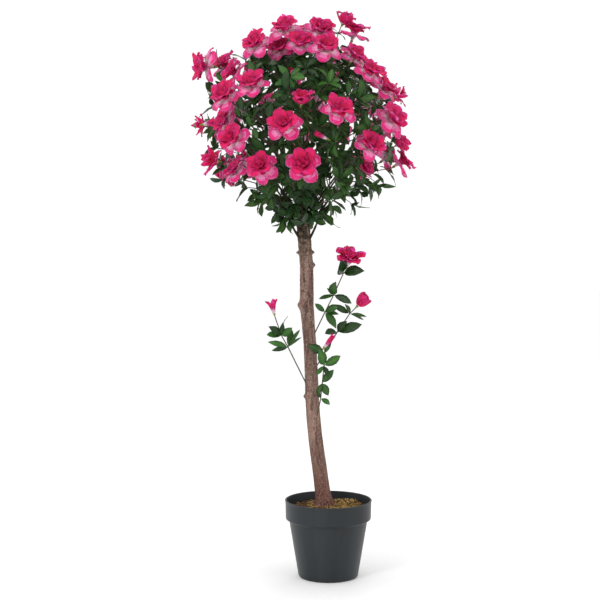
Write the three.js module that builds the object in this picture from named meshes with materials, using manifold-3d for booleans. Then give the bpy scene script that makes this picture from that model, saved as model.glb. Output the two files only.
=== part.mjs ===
// An artificial azalea tree, 1.22 m tall, in a plain nursery pot.
// A round crown of flowering sprays stands on one leaning trunk. Each spray is a thin bough set
// into the top of the trunk. It runs on as a stem, which forks into twigs that end in a bloom or in
// a rosette of leaves. Four small sprouts grow from the middle of the trunk.
// Millimetres, +Z up. The viewer stands at -Y, with +X to the right.
// The origin is the middle of the pot's underside.
import * as THREE from "three";
import { mergeVertices } from "three/addons/utils/BufferGeometryUtils.js";
import Module from "manifold-3d";

const wasm = await Module();
wasm.setup();

// The gap between two pieces that touch, and the least gap that a twig or leaf keeps to others.
const SEAT_GAP = 0.3;
const LEAST_GAP = 0.25;
// A stem starts this far beyond its bough's tip, measured along the stem.
const BOUGH_GAP = 0.45;

const POT = {
  height: 168,
  rimRadius: 94.3,
  rimDepth: 3,
  bandTopRadius: 93.3,
  bandFootRadius: 92.4,
  bandFoot: 128,
  stepRadius: 88,
  stepHeight: 125,
  shoulderRadius: 84.8,
  shoulderHeight: 121,
  heelRadius: 65.2,
  heelHeight: 4,
  footRadius: 61,
  wall: 2.4,
  floor: 3.5,
  sides: 32,
};

// The cast fill that the foot is set in, and the layer of wood wool over it.
const FILL = { top: 136 };
const WOOL = { edge: 150, middle: 155, flatRadius: 24, wallGap: 0.8 };

const TRUNK = {
  foot: WOOL.middle + SEAT_GAP,
  top: 896,
  bow: 6,
  flareRadius: 7.5,
  flareHeight: 14,
  sides: 12,
};
// The trunk's rings from its foot to its tip: height, how far its middle leans to the right, radius.
const TRUNK_RINGS = [
  [TRUNK.foot, -8.4, 16.4],
  [TRUNK.foot + 8, -9, 16.3],
  [178, -10.8, 16.2],
  [200, -14.1, 16],
  [232, -18.6, 15.9],
  [268, -23.8, 15.7],
  [308, -28.7, 15.1],
  [350, -32.6, 14.9],
  [395, -35.3, 14.6],
  [450, -37.6, 14.3],
  [505, -40, 14],
  [548, -43.6, 14.1],
  [589, -47.2, 15],
  [640, -47, 14.5],
  [677, -47.4, 14.3],
  [716, -50.6, 13.9],
  [774, -55.9, 13.1],
  [835, -58.8, 11.4],
  [TRUNK.top, -60, 9.5],
];
// Stubs where side shoots were cut off: height on the trunk, bearing, how far they stand out, radius.
const KNOTS = [
  { height: 392, bearing: -80, standOut: 3, radius: 5 },
  { height: 589, bearing: -84, standOut: 4, radius: 8 },
  { height: 676, bearing: 88, standOut: 4, radius: 5 },
  { height: 702, bearing: -86, standOut: 5, radius: 3.5 },
  { height: 703, bearing: 82, standOut: 5, radius: 3.5 },
];

// The crown is a body of revolution: an ellipsoid above its widest level, a paraboloid below it.
const CROWN = { x: -58, waist: 970, radius: 222, rise: 236, drop: 204, footRadius: 40 };

// Bearings run from the viewer's side, positive to the viewer's right.
// Each bloom is [bearing, height, distance from the crown's axis, size beside a full bloom].
const SPRAYS = [
  { name: "top_left", blooms: [[-21, 1177, 96, 1], [-40, 1145, 146, 1], [-30, 1136, 92, 0.9]] },
  { name: "top_front", blooms: [[28, 1177, 84, 1], [18, 1129, 160, 1]] },
  { name: "top_right", blooms: [[84, 1203, 94, 0.72], [92, 1168, 118, 1]] },
  {
    name: "right_upper",
    blooms: [[52, 1116, 138, 0.9], [50, 1080, 182, 1], [66, 1048, 190, 1], [92, 1042, 220, 0.66]],
  },
  { name: "right_middle", blooms: [[58, 985, 220, 1.05], [41, 929, 210, 0.95], [70, 938, 222, 0.62]] },
  { name: "right_low", blooms: [[86, 898, 212, 0.95], [56, 890, 160, 0.6]] },
  { name: "front_high", blooms: [[20, 999, 216, 0.95], [0, 1023, 212, 0.6]] },
  { name: "front_middle", blooms: [[-9, 967, 222, 1], [9, 948, 176, 0.5]] },
  { name: "front_low", blooms: [[1, 889, 204, 1], [-24, 884, 198, 1]] },
  { name: "left_top", blooms: [[-94, 1101, 208, 1.1], [-112, 1128, 180, 0.95], [-70, 1084, 150, 0.9]] },
  { name: "left_upper", blooms: [[-29, 1051, 204, 1], [-50, 1031, 204, 1]] },
  { name: "left_middle", blooms: [[-86, 984, 230, 0.66], [-62, 980, 180, 0.9], [-41, 944, 212, 0.95]] },
  { name: "left_low", blooms: [[-74, 906, 208, 0.95], [-52, 876, 178, 0.8]] },
  { name: "back_top", bearing: 176, height: 1122, bloomCount: 3 },
  { name: "back_left_high", bearing: -146, height: 1048, bloomCount: 3 },
  { name: "back_right_high", bearing: 126, height: 1060, bloomCount: 3 },
  { name: "back_middle", bearing: 170, height: 985, bloomCount: 3 },
  { name: "back_left_low", bearing: -126, height: 916, bloomCount: 3 },
  { name: "back_right_low", bearing: 120, height: 926, bloomCount: 3 },
  { name: "skirt_front", bearing: 12, height: 806, bloomCount: 0 },
  { name: "skirt_right", bearing: 84, height: 806, bloomCount: 0 },
  { name: "skirt_back", bearing: 176, height: 806, bloomCount: 0 },
  { name: "skirt_left", bearing: -76, height: 806, bloomCount: 0 },
];
// The blooms of a spray on the far side stand on a ring round its bearing and height.
const BLOOM_RING = { radius: 52, turn: 80, shareOfCrown: 0.96, smallest: 0.8 };

// A spray's root on the trunk rises evenly with the height that the spray stands at.
const SPRAY_ROOTS = { lowest: 716, highest: 850, fromHeight: 806, toHeight: 1150 };
const STEM = {
  shareOfCrown: 0.6,
  arch: 0.14,
  steps: 5,
  boughSteps: 2,
  rootRadius: 3,
  tipRadius: 1.8,
  boughSides: 5,
  stemSides: 4,
};
const TWIG = {
  radius: 1.5,
  sides: 3,
  forkAngle: 40,
  forkEarliest: 0.5,
  forkLatest: 0.97,
  forkJitter: 0.12,
  forkTries: 8,
};

// Rosettes of leaves lie on two shells, each a share of the crown. They stay below the top blooms.
const SHELLS = [
  { share: 0.9, riseShare: 0.76, dropShare: 1, rosettes: 100, leaves: 5 },
  { share: 0.62, riseShare: 0.6, dropShare: 0.7, rosettes: 22, leaves: 5 },
];
// Where the sky shows through the crown from the front: rightward place, height, radius of the gap.
const SKY = [
  [-190, 1088, 26],
  [-74, 1080, 16],
  [-136, 968, 10],
  [-184, 972, 10],
  [-178, 902, 10],
  [-100, 846, 14],
  [4, 854, 10],
  [12, 816, 12],
  [94, 875, 10],
];
const EYE = { x: -61.5, y: -3200, z: 847 };
const ROSETTE = {
  bloomClearance: 50,
  spread: 62,
  sag: 0.25,
  bearingJitter: 8,
  turnJitter: 4,
  spreadJitter: 10,
  smallest: 0.86,
  largest: 1.06,
  sprayChoices: 3,
};
// The swelling at a twig's tip, from which leaves and blooms grow.
const HUB = { radius: 3, depth: 3.2, neckRadius: 2.2 };
// A leaf's half-widths at two shares of its length, and how deep its keel is below its edges.
const LEAF = { length: 62, innerAt: 0.36, innerHalf: 10, outerAt: 0.68, outerHalf: 12.5, depth: 3 };
const BLOOM = {
  lobes: 5,
  tubeRadius: 8,
  tubeHeight: 15,
  petalReach: 38,
  petalNotch: 27,
  petalHeight: 9,
  creaseRadius: 16,
  creaseHeight: 23,
  innerReach: 27,
  innerHeight: 38,
  throatHeight: 26,
  budWidth: 0.36,
  budHeight: 1.35,
  budPetalHeight: 29,
  turnJitter: 0.25,
  faceHeight: 21,
};
// The leaves under a bloom.
const WHORL = { leaves: 3, spread: 76, scale: 1 };
// How far up blooms and rosettes face, in degrees: at the crown's widest level, and with the height.
const BLOOM_TILT = { atWaist: 38, perRise: 32, perDrop: 10 };
const ROSETTE_TILT = { atWaist: 18, perRise: 52, perDrop: 16 };

// Sprouts on the bare trunk: the root's height and bearing, the places of the rosettes up the stem,
// how many leaves each has, and the bloom at the tip, which is nearly a bud where it is little open.
const SPROUTS = [
  {
    name: "sprout_left",
    root: { height: 420, bearing: -66 },
    rosettes: [[-87, -26, 503], [-104, -28, 535]],
    leaves: 5,
    bloom: { place: [-116, -30, 565], lean: [-0.4, 0, 1], size: 0.62, openness: 0.3 },
  },
  {
    name: "sprout_tall",
    root: { height: 528, bearing: 66 },
    rosettes: [[-7, -18, 576], [12, -20, 613], [33, -22, 656]],
    leaves: 3,
    bloom: { place: [38, -24, 668], lean: [0.16, -0.5, 1], size: 1, openness: 0.85 },
  },
  {
    name: "sprout_middle",
    root: { height: 458, bearing: 78 },
    rosettes: [[18, -14, 530], [46, -15, 574]],
    leaves: 4,
    bloom: { place: [58, -16, 588], lean: [0.6, -0.2, 1], size: 0.74, openness: 0.45 },
  },
  {
    name: "sprout_low",
    root: { height: 352, bearing: 40 },
    rosettes: [[-10, -24, 390], [-8, -27, 426], [-9, -32, 464]],
    leaves: 4,
    bloom: { place: [-5, -36, 497], lean: [0.25, -0.1, 1], size: 0.42, openness: 0.15 },
  },
];
// The leaves of a sprout turn to the front, by this share of the way.
const SPROUT = {
  rootRadius: 1.9,
  tipRadius: 1.4,
  leafScale: 0.62,
  boughEnd: 0.55,
  whorlBack: 6,
  turnToFront: 1.1,
};

const FINISHES = {
  pot: { color: 0x3b3f42, roughness: 0.55 },
  fill: { color: 0x8a8780, roughness: 0.9 },
  wool: { color: 0x735f3f, roughness: 0.95 },
  bark: { color: 0x7b6258, roughness: 0.9 },
  wire: { color: 0x4e5a36, roughness: 0.7 },
  leaf: { color: 0x35512c, roughness: 0.5 },
  bloom: { color: 0xca1f4d, roughness: 0.6 },
};

const radians = THREE.MathUtils.degToRad;
const blend = THREE.MathUtils.lerp;

// A small seeded dice: the same throws every time.
const DICE = { seed: 4181, factor: 48271, modulus: 2147483647 };
let diceState = DICE.seed;
function dice(low, high) {
  diceState = (diceState * DICE.factor) % DICE.modulus;
  return blend(low, high, diceState / DICE.modulus);
}

function unit(way) {
  return new THREE.Vector3(...way).normalize();
}

function outward(bearing) {
  return new THREE.Vector3(Math.sin(radians(bearing)), -Math.cos(radians(bearing)), 0);
}

// A point moved the given distance towards another.
function moved(point, towards, distance) {
  return point.clone().addScaledVector(towards.clone().sub(point).normalize(), distance);
}

function bearingOf(way) {
  return THREE.MathUtils.radToDeg(Math.atan2(way.x, -way.y));
}

// Solids and the clear space between them.
function closedShape(points, faces) {
  const geometry = new THREE.BufferGeometry();
  geometry.setAttribute("position", new THREE.Float32BufferAttribute(points.flatMap((p) => p.toArray()), 3));
  geometry.setIndex(faces.flat());
  return geometry;
}

function solidOf(geometry) {
  geometry.deleteAttribute("normal");
  geometry.deleteAttribute("uv");
  const merged = mergeVertices(geometry);
  return new wasm.Manifold(
    new wasm.Mesh({
      numProp: 3,
      vertProperties: new Float32Array(merged.getAttribute("position").array),
      triVerts: new Uint32Array(merged.getIndex().array),
    })
  );
}

// Joins solids, and keeps the largest connected body.
function joined(solids) {
  const bodies = solids.reduce((sum, solid) => sum.add(solid)).decompose();
  return bodies.reduce((best, body) => (body.volume() > best.volume() ? body : best));
}

function meshOf(name, solid, finish) {
  const { vertProperties, triVerts } = solid.getMesh();
  const geometry = new THREE.BufferGeometry();
  geometry.setAttribute("position", new THREE.Float32BufferAttribute(vertProperties, 3));
  geometry.setIndex(new THREE.Uint32BufferAttribute(triVerts, 1));
  geometry.computeVertexNormals();
  const mesh = new THREE.Mesh(geometry, new THREE.MeshStandardMaterial({ ...finish, metalness: 0 }));
  mesh.name = name;
  return mesh;
}

// What is placed so far, which keeps pieces apart, and the solids that make up each mass.
const placed = [];
const grown = new Map();

function boxOf(solid) {
  const { min, max } = solid.boundingBox();
  return new THREE.Box3(new THREE.Vector3(...min), new THREE.Vector3(...max)).expandByScalar(SEAT_GAP);
}

function place(node, kind, solid, sprig = null) {
  placed.push({ node, kind, solid, sprig, box: boxOf(solid) });
}

// Whether a solid is clear of all that is placed, apart from the items that it may touch.
function isClear(solid, mayTouch) {
  const box = boxOf(solid);
  return !placed.some(
    (item) =>
      !mayTouch(item) && item.box.intersectsBox(box) && solid.minGap(item.solid, SEAT_GAP) < LEAST_GAP
  );
}

function grow(node, solid) {
  grown.set(node, [...(grown.get(node) ?? []), solid]);
}

// Faces between a ring of points and the ring above it, both counted anticlockwise from above.
// Each edge of the upper ring has its turn, a share of the circle, and meets the nearest lower point.
function linkRings(lower, upper, turns = upper.map((_, i) => (i + 0.5) / upper.length)) {
  const faces = [];
  let j = 0;
  const stepTo = (corner) => {
    faces.push([lower[j], lower[(j + 1) % lower.length], corner]);
    j += 1;
  };
  upper.forEach((corner, i) => {
    while (turns[i] * lower.length > j + 0.5) stepTo(corner);
    faces.push([lower[j % lower.length], upper[(i + 1) % upper.length], corner]);
  });
  while (j < lower.length) stepTo(upper[0]);
  return faces;
}

// A stack of rings with a flat face at each end.
function stackFaces(rings) {
  const faces = rings.slice(1).flatMap((ring, i) => linkRings(rings[i], ring));
  const [first, last] = [rings[0], rings[rings.length - 1]];
  for (let k = 1; k + 1 < first.length; k++) {
    faces.push([first[0], first[k + 1], first[k]], [last[0], last[k], last[k + 1]]);
  }
  return faces;
}

// A round limb through the given points, with one radius for each and a flat cut at both ends.
function limb(centres, radii, sides) {
  const points = [];
  let across = new THREE.Vector3(1, 0, 0);
  const rings = centres.map((centre, i) => {
    const before = centres[Math.max(i - 1, 0)];
    const after = centres[Math.min(i + 1, centres.length - 1)];
    const along = after.clone().sub(before).normalize();
    if (Math.abs(across.dot(along)) > 0.9) across.set(0, 1, 0);
    across = across.clone().addScaledVector(along, -across.dot(along)).normalize();
    const third = along.clone().cross(across);
    return Array.from({ length: sides }, (_, k) => {
      const turn = (k / sides) * 2 * Math.PI;
      const offset = across.clone().multiplyScalar(Math.cos(turn)).addScaledVector(third, Math.sin(turn));
      return points.push(centre.clone().addScaledVector(offset, radii[i])) - 1;
    });
  });
  return solidOf(closedShape(points, stackFaces(rings)));
}

// The pot, its fill and the wood wool.
function lathe(profile, sides) {
  const points = profile.map(([radius, height]) => new THREE.Vector2(radius, height));
  return solidOf(new THREE.LatheGeometry(points, sides).rotateX(Math.PI / 2));
}

function wallRadius(height) {
  const share = (height - POT.heelHeight) / (POT.shoulderHeight - POT.heelHeight);
  return blend(POT.heelRadius, POT.shoulderRadius, Math.min(Math.max(share, 0), 1)) - POT.wall;
}

function potSolid() {
  return lathe(
    [
      [0, 0],
      [POT.footRadius, 0],
      [POT.heelRadius, POT.heelHeight],
      [POT.shoulderRadius, POT.shoulderHeight],
      [POT.stepRadius, POT.stepHeight],
      [POT.bandFootRadius, POT.bandFoot],
      [POT.bandTopRadius, POT.height - POT.rimDepth],
      [POT.rimRadius, POT.height - POT.rimDepth],
      [POT.rimRadius, POT.height],
      [POT.bandTopRadius - POT.wall, POT.height],
      [POT.bandFootRadius - POT.wall, POT.bandFoot],
      [wallRadius(POT.shoulderHeight), POT.shoulderHeight],
      [wallRadius(POT.floor), POT.floor],
      [0, POT.floor],
    ],
    POT.sides
  );
}

function fillSolid() {
  const foot = POT.floor + SEAT_GAP;
  return lathe(
    [
      [0, foot],
      [wallRadius(foot) - SEAT_GAP, foot],
      [wallRadius(POT.shoulderHeight) - SEAT_GAP, POT.shoulderHeight],
      [wallRadius(POT.shoulderHeight) - SEAT_GAP, FILL.top],
      [0, FILL.top],
    ],
    POT.sides
  );
}

function woolSolid() {
  const radius = POT.bandFootRadius - POT.wall - WOOL.wallGap;
  return lathe(
    [
      [0, FILL.top + SEAT_GAP],
      [radius, FILL.top + SEAT_GAP],
      [radius, WOOL.edge],
      [WOOL.flatRadius, WOOL.middle],
      [0, WOOL.middle],
    ],
    POT.sides
  );
}

// The trunk.
function trunkAt(height) {
  const upper = TRUNK_RINGS.findIndex(([ringHeight], i) => i > 0 && ringHeight >= height);
  const [low, high] = [TRUNK_RINGS[upper - 1], TRUNK_RINGS[upper]];
  const share = (height - low[0]) / (high[0] - low[0]);
  return { x: blend(low[1], high[1], share), radius: blend(low[2], high[2], share) };
}

function trunkCentre(height) {
  const y = TRUNK.bow * Math.sin((Math.PI * (height - TRUNK.foot)) / (TRUNK.top - TRUNK.foot));
  return new THREE.Vector3(trunkAt(height).x, y, height);
}

function trunkRadius(height) {
  return trunkAt(height).radius + TRUNK.flareRadius * Math.exp(-(height - TRUNK.foot) / TRUNK.flareHeight);
}

function trunkSolid(swell) {
  const points = [];
  const rings = TRUNK_RINGS.map(([height]) =>
    Array.from({ length: TRUNK.sides }, (_, k) => {
      const way = outward((k / TRUNK.sides) * 360);
      return points.push(trunkCentre(height).addScaledVector(way, trunkRadius(height) + swell)) - 1;
    })
  );
  const shaft = solidOf(closedShape(points, stackFaces(rings)));
  return joined([shaft, ...KNOTS.map((knot) => knotSolid(knot, swell))]);
}

function knotSolid({ height, bearing, standOut, radius }, swell) {
  const centre = trunkCentre(height);
  const tip = centre.clone().addScaledVector(outward(bearing), trunkRadius(height) + standOut + swell);
  tip.z += standOut;
  return limb([centre, tip], [2 * radius + swell, radius + swell], STEM.boughSides);
}

// Leaves and blooms.
// A leaf is a shallow boat: a keel from its root to its tip, and a deck between its raised edges.
// These are its five outline points beyond the root, from one side round to the other.
function leafOutline({ root, along, face, scale }) {
  const across = along.clone().cross(face).normalize();
  const up = across.clone().cross(along);
  const at = (share, half, lift) =>
    root
      .clone()
      .addScaledVector(along, share * LEAF.length * scale)
      .addScaledVector(across, half * scale)
      .addScaledVector(up, lift * scale);
  return [
    at(LEAF.innerAt, LEAF.innerHalf, LEAF.depth),
    at(LEAF.outerAt, LEAF.outerHalf, LEAF.depth),
    at(1, 0, 0),
    at(LEAF.outerAt, -LEAF.outerHalf, LEAF.depth),
    at(LEAF.innerAt, -LEAF.innerHalf, LEAF.depth),
  ];
}

function deckFaces(edge) {
  return [[edge[0], edge[1], edge[3]], [edge[0], edge[3], edge[4]], [edge[1], edge[2], edge[3]]];
}

// The way at the given turn round an axis, square to it.
function turned(axis, turn) {
  const side = new THREE.Vector3(-axis.y, axis.x, 0);
  if (side.length() < 0.1) side.set(1, 0, 0);
  side.normalize();
  const other = axis.clone().cross(side);
  return side.multiplyScalar(Math.cos(turn)).addScaledVector(other, Math.sin(turn));
}

// The leaves of a rosette stand round its axis, opened by the spread angle and pulled down a little.
function rosetteLeaves(centre, axis, count, spread, scale, firstTurn) {
  return Array.from({ length: count }, (_, k) => {
    const jitter = dice(-ROSETTE.turnJitter, ROSETTE.turnJitter);
    const way = turned(axis, firstTurn + (k / count) * 2 * Math.PI + radians(jitter));
    const open = radians(spread + dice(-ROSETTE.spreadJitter, ROSETTE.spreadJitter));
    const sag = ROSETTE.sag * (axis.z * Math.sin(open) - way.z * Math.cos(open));
    const along = way.multiplyScalar(Math.sin(open + sag)).addScaledVector(axis, Math.cos(open + sag));
    const face = axis.clone().addScaledVector(along, -axis.dot(along)).normalize();
    return { root: centre, along, face, scale: scale * dice(ROSETTE.smallest, ROSETTE.largest) };
  });
}

// A ring of points round a centre, with the way of each worked out from its turn.
function ringOf(points, centre, axis, firstTurn, reaches) {
  return reaches.map((reach, k) => {
    const way = turned(axis, firstTurn + (k / reaches.length) * 2 * Math.PI);
    return points.push(centre.clone().addScaledVector(way, reach)) - 1;
  });
}

// A bloom on its hub: five broad petals that hang open round a second, upright ring. In a bud they
// stand up beside it.
// Its tips lie at even turns, and the inner tips between them. Returns the rings from the hub up.
function bloomRings(points, base, axis, firstTurn, { size, openness }) {
  const wide = blend(BLOOM.budWidth, 1, openness) * size;
  const tall = blend(BLOOM.budHeight, 1, openness) * size;
  const petalHeight = blend(BLOOM.budPetalHeight, BLOOM.petalHeight, openness);
  const at = (height) => base.clone().addScaledVector(axis, height * tall);
  const half = Math.PI / BLOOM.lobes;
  const tube = Array(BLOOM.lobes).fill(BLOOM.tubeRadius * size);
  const rim = tube.flatMap(() => [BLOOM.petalReach * wide, BLOOM.petalNotch * wide]);
  const crease = tube.map(() => BLOOM.creaseRadius * wide);
  const inner = tube.map(() => BLOOM.innerReach * wide);
  return [
    ringOf(points, at(BLOOM.tubeHeight), axis, firstTurn, tube),
    ringOf(points, at(petalHeight), axis, firstTurn, rim),
    ringOf(points, at(BLOOM.creaseHeight), axis, firstTurn + half, crease),
    ringOf(points, at(BLOOM.innerHeight), axis, firstTurn + half, inner),
    [points.push(at(BLOOM.throatHeight)) - 1],
  ];
}

// A sprig is one body: a three-sided twig that swells at its tip to a small hub, whose sides run out
// into leaves. The hub ends in a point, or carries a bloom. A leaf that has no room is null, and the
// hub is plain on that side.
function sprigSolid({ from, centre, axis, leaves, firstTurn, bloom = null }) {
  const points = [];
  const count = leaves.length;
  const slot = (2 * Math.PI) / count;
  const foot = centre.clone().addScaledVector(axis, -HUB.depth);
  const top = centre.clone().addScaledVector(axis, HUB.depth);
  const root = ringOf(points, from, axis, firstTurn, Array(TWIG.sides).fill(TWIG.radius));
  const tip = ringOf(points, foot, axis, firstTurn, Array(TWIG.sides).fill(TWIG.radius));
  const notches = ringOf(points, centre, axis, firstTurn - slot / 2, Array(count).fill(HUB.radius));
  const neck = bloom === null ? [0] : Array(count).fill(HUB.neckRadius);
  const summit = ringOf(points, top, axis, firstTurn, neck);
  const faces = [[root[0], root[2], root[1]], ...linkRings(root, tip)];
  const outline = [];
  const turns = [];
  leaves.forEach((leaf, k) => {
    const next = notches[(k + 1) % count];
    const upper = summit[k % summit.length];
    const edge = leaf === null ? [] : leafOutline(leaf).map((point) => points.push(point) - 1);
    outline.push(notches[k], ...edge);
    turns.push(...Array(edge.length + 1).fill(k / count));
    if (leaf === null) {
      faces.push([upper, notches[k], next]);
    } else {
      faces.push([upper, notches[k], edge[0]], [upper, edge[0], edge[4]], [upper, edge[4], next]);
      faces.push(...deckFaces(edge));
    }
    if (bloom !== null) faces.push([upper, next, summit[(k + 1) % count]]);
  });
  faces.push(...linkRings(tip, outline, turns));
  if (bloom !== null) {
    const rings = [summit, ...bloomRings(points, top, axis, firstTurn, bloom)];
    rings.slice(1).forEach((upper, i) => faces.push(...linkRings(rings[i], upper)));
  }
  return solidOf(closedShape(points, faces));
}

// The parts of a sprig by themselves, with which the room for it is tried.
function bareSprig(sprig) {
  return sprigSolid({ ...sprig, leaves: sprig.leaves.map(() => null), bloom: null });
}

function headOf(sprig, onlyLeaf) {
  const from = sprig.centre.clone().addScaledVector(sprig.axis, -HUB.depth - 1);
  const leaves = sprig.leaves.map((leaf, k) => (k === onlyLeaf ? leaf : null));
  return sprigSolid({ ...sprig, from, leaves });
}

// The crown.
function crownRadius(height) {
  const above = height > CROWN.waist;
  const share = Math.min(Math.abs(height - CROWN.waist) / (above ? CROWN.rise : CROWN.drop), 1);
  if (above) return CROWN.radius * Math.sqrt(1 - share * share);
  return Math.max(CROWN.radius * (1 - share * share), CROWN.footRadius);
}

function crownPoint(bearing, height, reach) {
  return new THREE.Vector3(CROWN.x, 0, height).addScaledVector(outward(bearing), reach);
}

// The way that a bloom or rosette faces: nearly straight up at the crown's top, and lower below.
function facing(bearing, height, { atWaist, perRise, perDrop }) {
  const rise = (height - CROWN.waist) / CROWN.rise;
  const tilt = atWaist + rise * (rise > 0 ? perRise : perDrop);
  const up = new THREE.Vector3(0, 0, Math.sin(radians(tilt)));
  return outward(bearing).multiplyScalar(Math.cos(radians(tilt))).add(up);
}

function bloomRing({ bearing, height, bloomCount }) {
  return Array.from({ length: bloomCount }, (_, k) => {
    const turn = radians(BLOOM_RING.turn + (k / bloomCount) * 360);
    const ringHeight = height + BLOOM_RING.radius * Math.sin(turn);
    const reach = crownRadius(ringHeight) * BLOOM_RING.shareOfCrown;
    const shift = THREE.MathUtils.radToDeg((BLOOM_RING.radius * Math.cos(turn)) / reach);
    return [bearing + shift, ringHeight, reach, dice(BLOOM_RING.smallest, 1)];
  });
}

function bloomsOf(spray) {
  const rows = spray.blooms ?? bloomRing(spray);
  return rows.map(([bearing, height, reach, size]) => {
    const axis = facing(bearing, height, BLOOM_TILT);
    const centre = crownPoint(bearing, height, reach);
    const base = centre.clone().addScaledVector(axis, -BLOOM.faceHeight * size);
    return { centre, base, axis, size };
  });
}

// The path of a spray's bough and stem: straight pieces along an arch from the trunk's middle.
function stemPath(spray, blooms) {
  const goal = new THREE.Vector3();
  blooms.forEach(({ centre }) => goal.addScaledVector(centre, 1 / blooms.length));
  if (blooms.length === 0) goal.copy(crownPoint(spray.bearing, spray.height, crownRadius(spray.height)));
  const rise = (goal.z - SPRAY_ROOTS.fromHeight) / (SPRAY_ROOTS.toHeight - SPRAY_ROOTS.fromHeight);
  const share = THREE.MathUtils.clamp(rise, 0, 1);
  const root = trunkCentre(blend(SPRAY_ROOTS.lowest, SPRAY_ROOTS.highest, share));
  const middle = new THREE.Vector3(CROWN.x, 0, blend(root.z, CROWN.waist, 0.5));
  const tip = middle.clone().lerp(goal, STEM.shareOfCrown);
  const run = tip.clone().sub(root);
  const bend = root.clone().lerp(tip, 0.5);
  bend.addScaledVector(outward(bearingOf(run)), STEM.arch * run.z);
  bend.z += STEM.arch * Math.hypot(run.x, run.y);
  return new THREE.QuadraticBezierCurve3(root, bend, tip).getPoints(STEM.steps);
}

function evenSteps(from, to, steps) {
  return Array.from({ length: steps + 1 }, (_, i) => blend(from, to, i / steps));
}

// The point on a stem from which a twig to the given place leaves at the fork angle.
function forkPoint(path, goal) {
  const last = dice(TWIG.forkLatest - TWIG.forkJitter, TWIG.forkLatest);
  const forks = evenSteps(TWIG.forkEarliest, last, TWIG.forkTries).map((share) => {
    const piece = Math.floor(share * STEM.steps);
    const point = path[piece].clone().lerp(path[piece + 1], share * STEM.steps - piece);
    const along = path[piece + 1].clone().sub(path[piece]);
    const angle = goal.clone().sub(point).angleTo(along);
    return { point, miss: Math.abs(angle - radians(TWIG.forkAngle)) };
  });
  return forks.reduce((best, fork) => (fork.miss < best.miss ? fork : best)).point;
}

// Takes the room for a sprig's twig and its bloom, and says whether it was free.
function claimTwig(node, sprig) {
  const ownLimb = (item) => item.node === node && item.kind === "limb";
  const own = (item) => item.node === node;
  const twig = bareSprig(sprig);
  const head = headOf(sprig, -1);
  const hasRoom = sprig.bloom ? isClear(twig, own) && isClear(head, own) : isClear(twig, ownLimb);
  if (hasRoom) place(node, "limb", twig, sprig);
  if (hasRoom && sprig.bloom) place(node, "bloom", head, sprig);
  return hasRoom;
}

// Whether a leaf would show in a gap of the sky, looked at from the front.
function hidesSky({ root, along, scale }) {
  const middle = root.clone().addScaledVector(along, LEAF.outerAt * LEAF.length * scale);
  const nearer = -EYE.y / (middle.y - EYE.y);
  const x = blend(EYE.x, middle.x, nearer);
  const height = blend(EYE.z, middle.z, nearer);
  return SKY.some(([gapX, gapHeight, radius]) => Math.hypot(x - gapX, height - gapHeight) < radius);
}

// Adds a sprig to its mass, with the leaves that have room beside all but their own twig.
function growSprig(node, sprig, ownTwig = (item) => item.sprig === sprig) {
  const blade = (k) => headOf({ ...sprig, bloom: null }, k);
  const hasRoom = (leaf, k) => leaf && !hidesSky(leaf) && isClear(blade(k), ownTwig);
  const leaves = sprig.leaves.map((leaf, k) => (hasRoom(leaf, k) ? leaf : null));
  grow(node, sprigSolid({ ...sprig, leaves }));
  leaves.forEach((leaf, k) => leaf !== null && place(node, "leaf", blade(k)));
}

const trunk = trunkSolid(0);
const trunkSpace = trunkSolid(SEAT_GAP);
place("trunk", "limb", trunk);

const sprays = SPRAYS.map((spray) => {
  const blooms = bloomsOf(spray);
  return { ...spray, blooms, path: stemPath(spray, blooms) };
});

// Boughs, cut clear of the trunk, then the stems that carry on from them.
const boughs = sprays
  .filter((spray) => spray.blooms.length > 0)
  .map((spray) => {
    const path = spray.path.slice(0, STEM.boughSteps + 1);
    const radii = evenSteps(STEM.rootRadius, STEM.tipRadius, STEM.boughSteps);
    const name = `bough_${spray.name}`;
    const solid = joined([limb(path, radii, STEM.boughSides).subtract(trunkSpace)]);
    place(name, "limb", solid);
    return { name, solid };
  });
for (const { name, path, blooms } of sprays) {
  const onBough = blooms.length > 0;
  const stemPoints = path.slice(onBough ? STEM.boughSteps : 0);
  if (onBough) stemPoints[0] = moved(stemPoints[0], stemPoints[1], BOUGH_GAP);
  const radii = evenSteps(STEM.tipRadius, TWIG.radius, stemPoints.length - 1);
  const uncut = limb(stemPoints, radii, STEM.stemSides);
  const stem = onBough ? uncut : joined([uncut.subtract(trunkSpace)]);
  grow(name, stem);
  place(name, "limb", stem);
}

// Blooms take their room first. Then they grow with the leaves under them, and rosettes fill in.
for (const spray of sprays) {
  spray.sprigs = spray.blooms
    .map(({ base, axis, size }) => {
      const firstTurn = Math.PI / 2 + dice(-BLOOM.turnJitter, BLOOM.turnJitter);
      const centre = base.clone().addScaledVector(axis, -HUB.depth);
      const leaves = rosetteLeaves(centre, axis, WHORL.leaves, WHORL.spread, WHORL.scale, firstTurn);
      const from = forkPoint(spray.path, centre);
      return { from, centre, axis, leaves, firstTurn, bloom: { size, openness: 1 } };
    })
    .filter((sprig) => claimTwig(spray.name, sprig));
}
sprays.forEach(({ name, sprigs }) => sprigs.forEach((sprig) => growSprig(name, sprig)));

// A rosette of the crown is carried by the nearest spray whose twig has a clear way to it.
function growCrownRosette(centre, axis, count) {
  const distance = (spray) => spray.path[STEM.steps].distanceTo(centre);
  const near = [...sprays].sort((a, b) => distance(a) - distance(b)).slice(0, ROSETTE.sprayChoices);
  const firstTurn = dice(0, 2 * Math.PI);
  const leaves = rosetteLeaves(centre, axis, count, ROSETTE.spread, 1, firstTurn);
  for (const { name, path } of near) {
    const sprig = { from: forkPoint(path, centre), centre, axis, leaves, firstTurn };
    if (claimTwig(name, sprig)) {
      growSprig(name, sprig);
      return;
    }
  }
}

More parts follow.
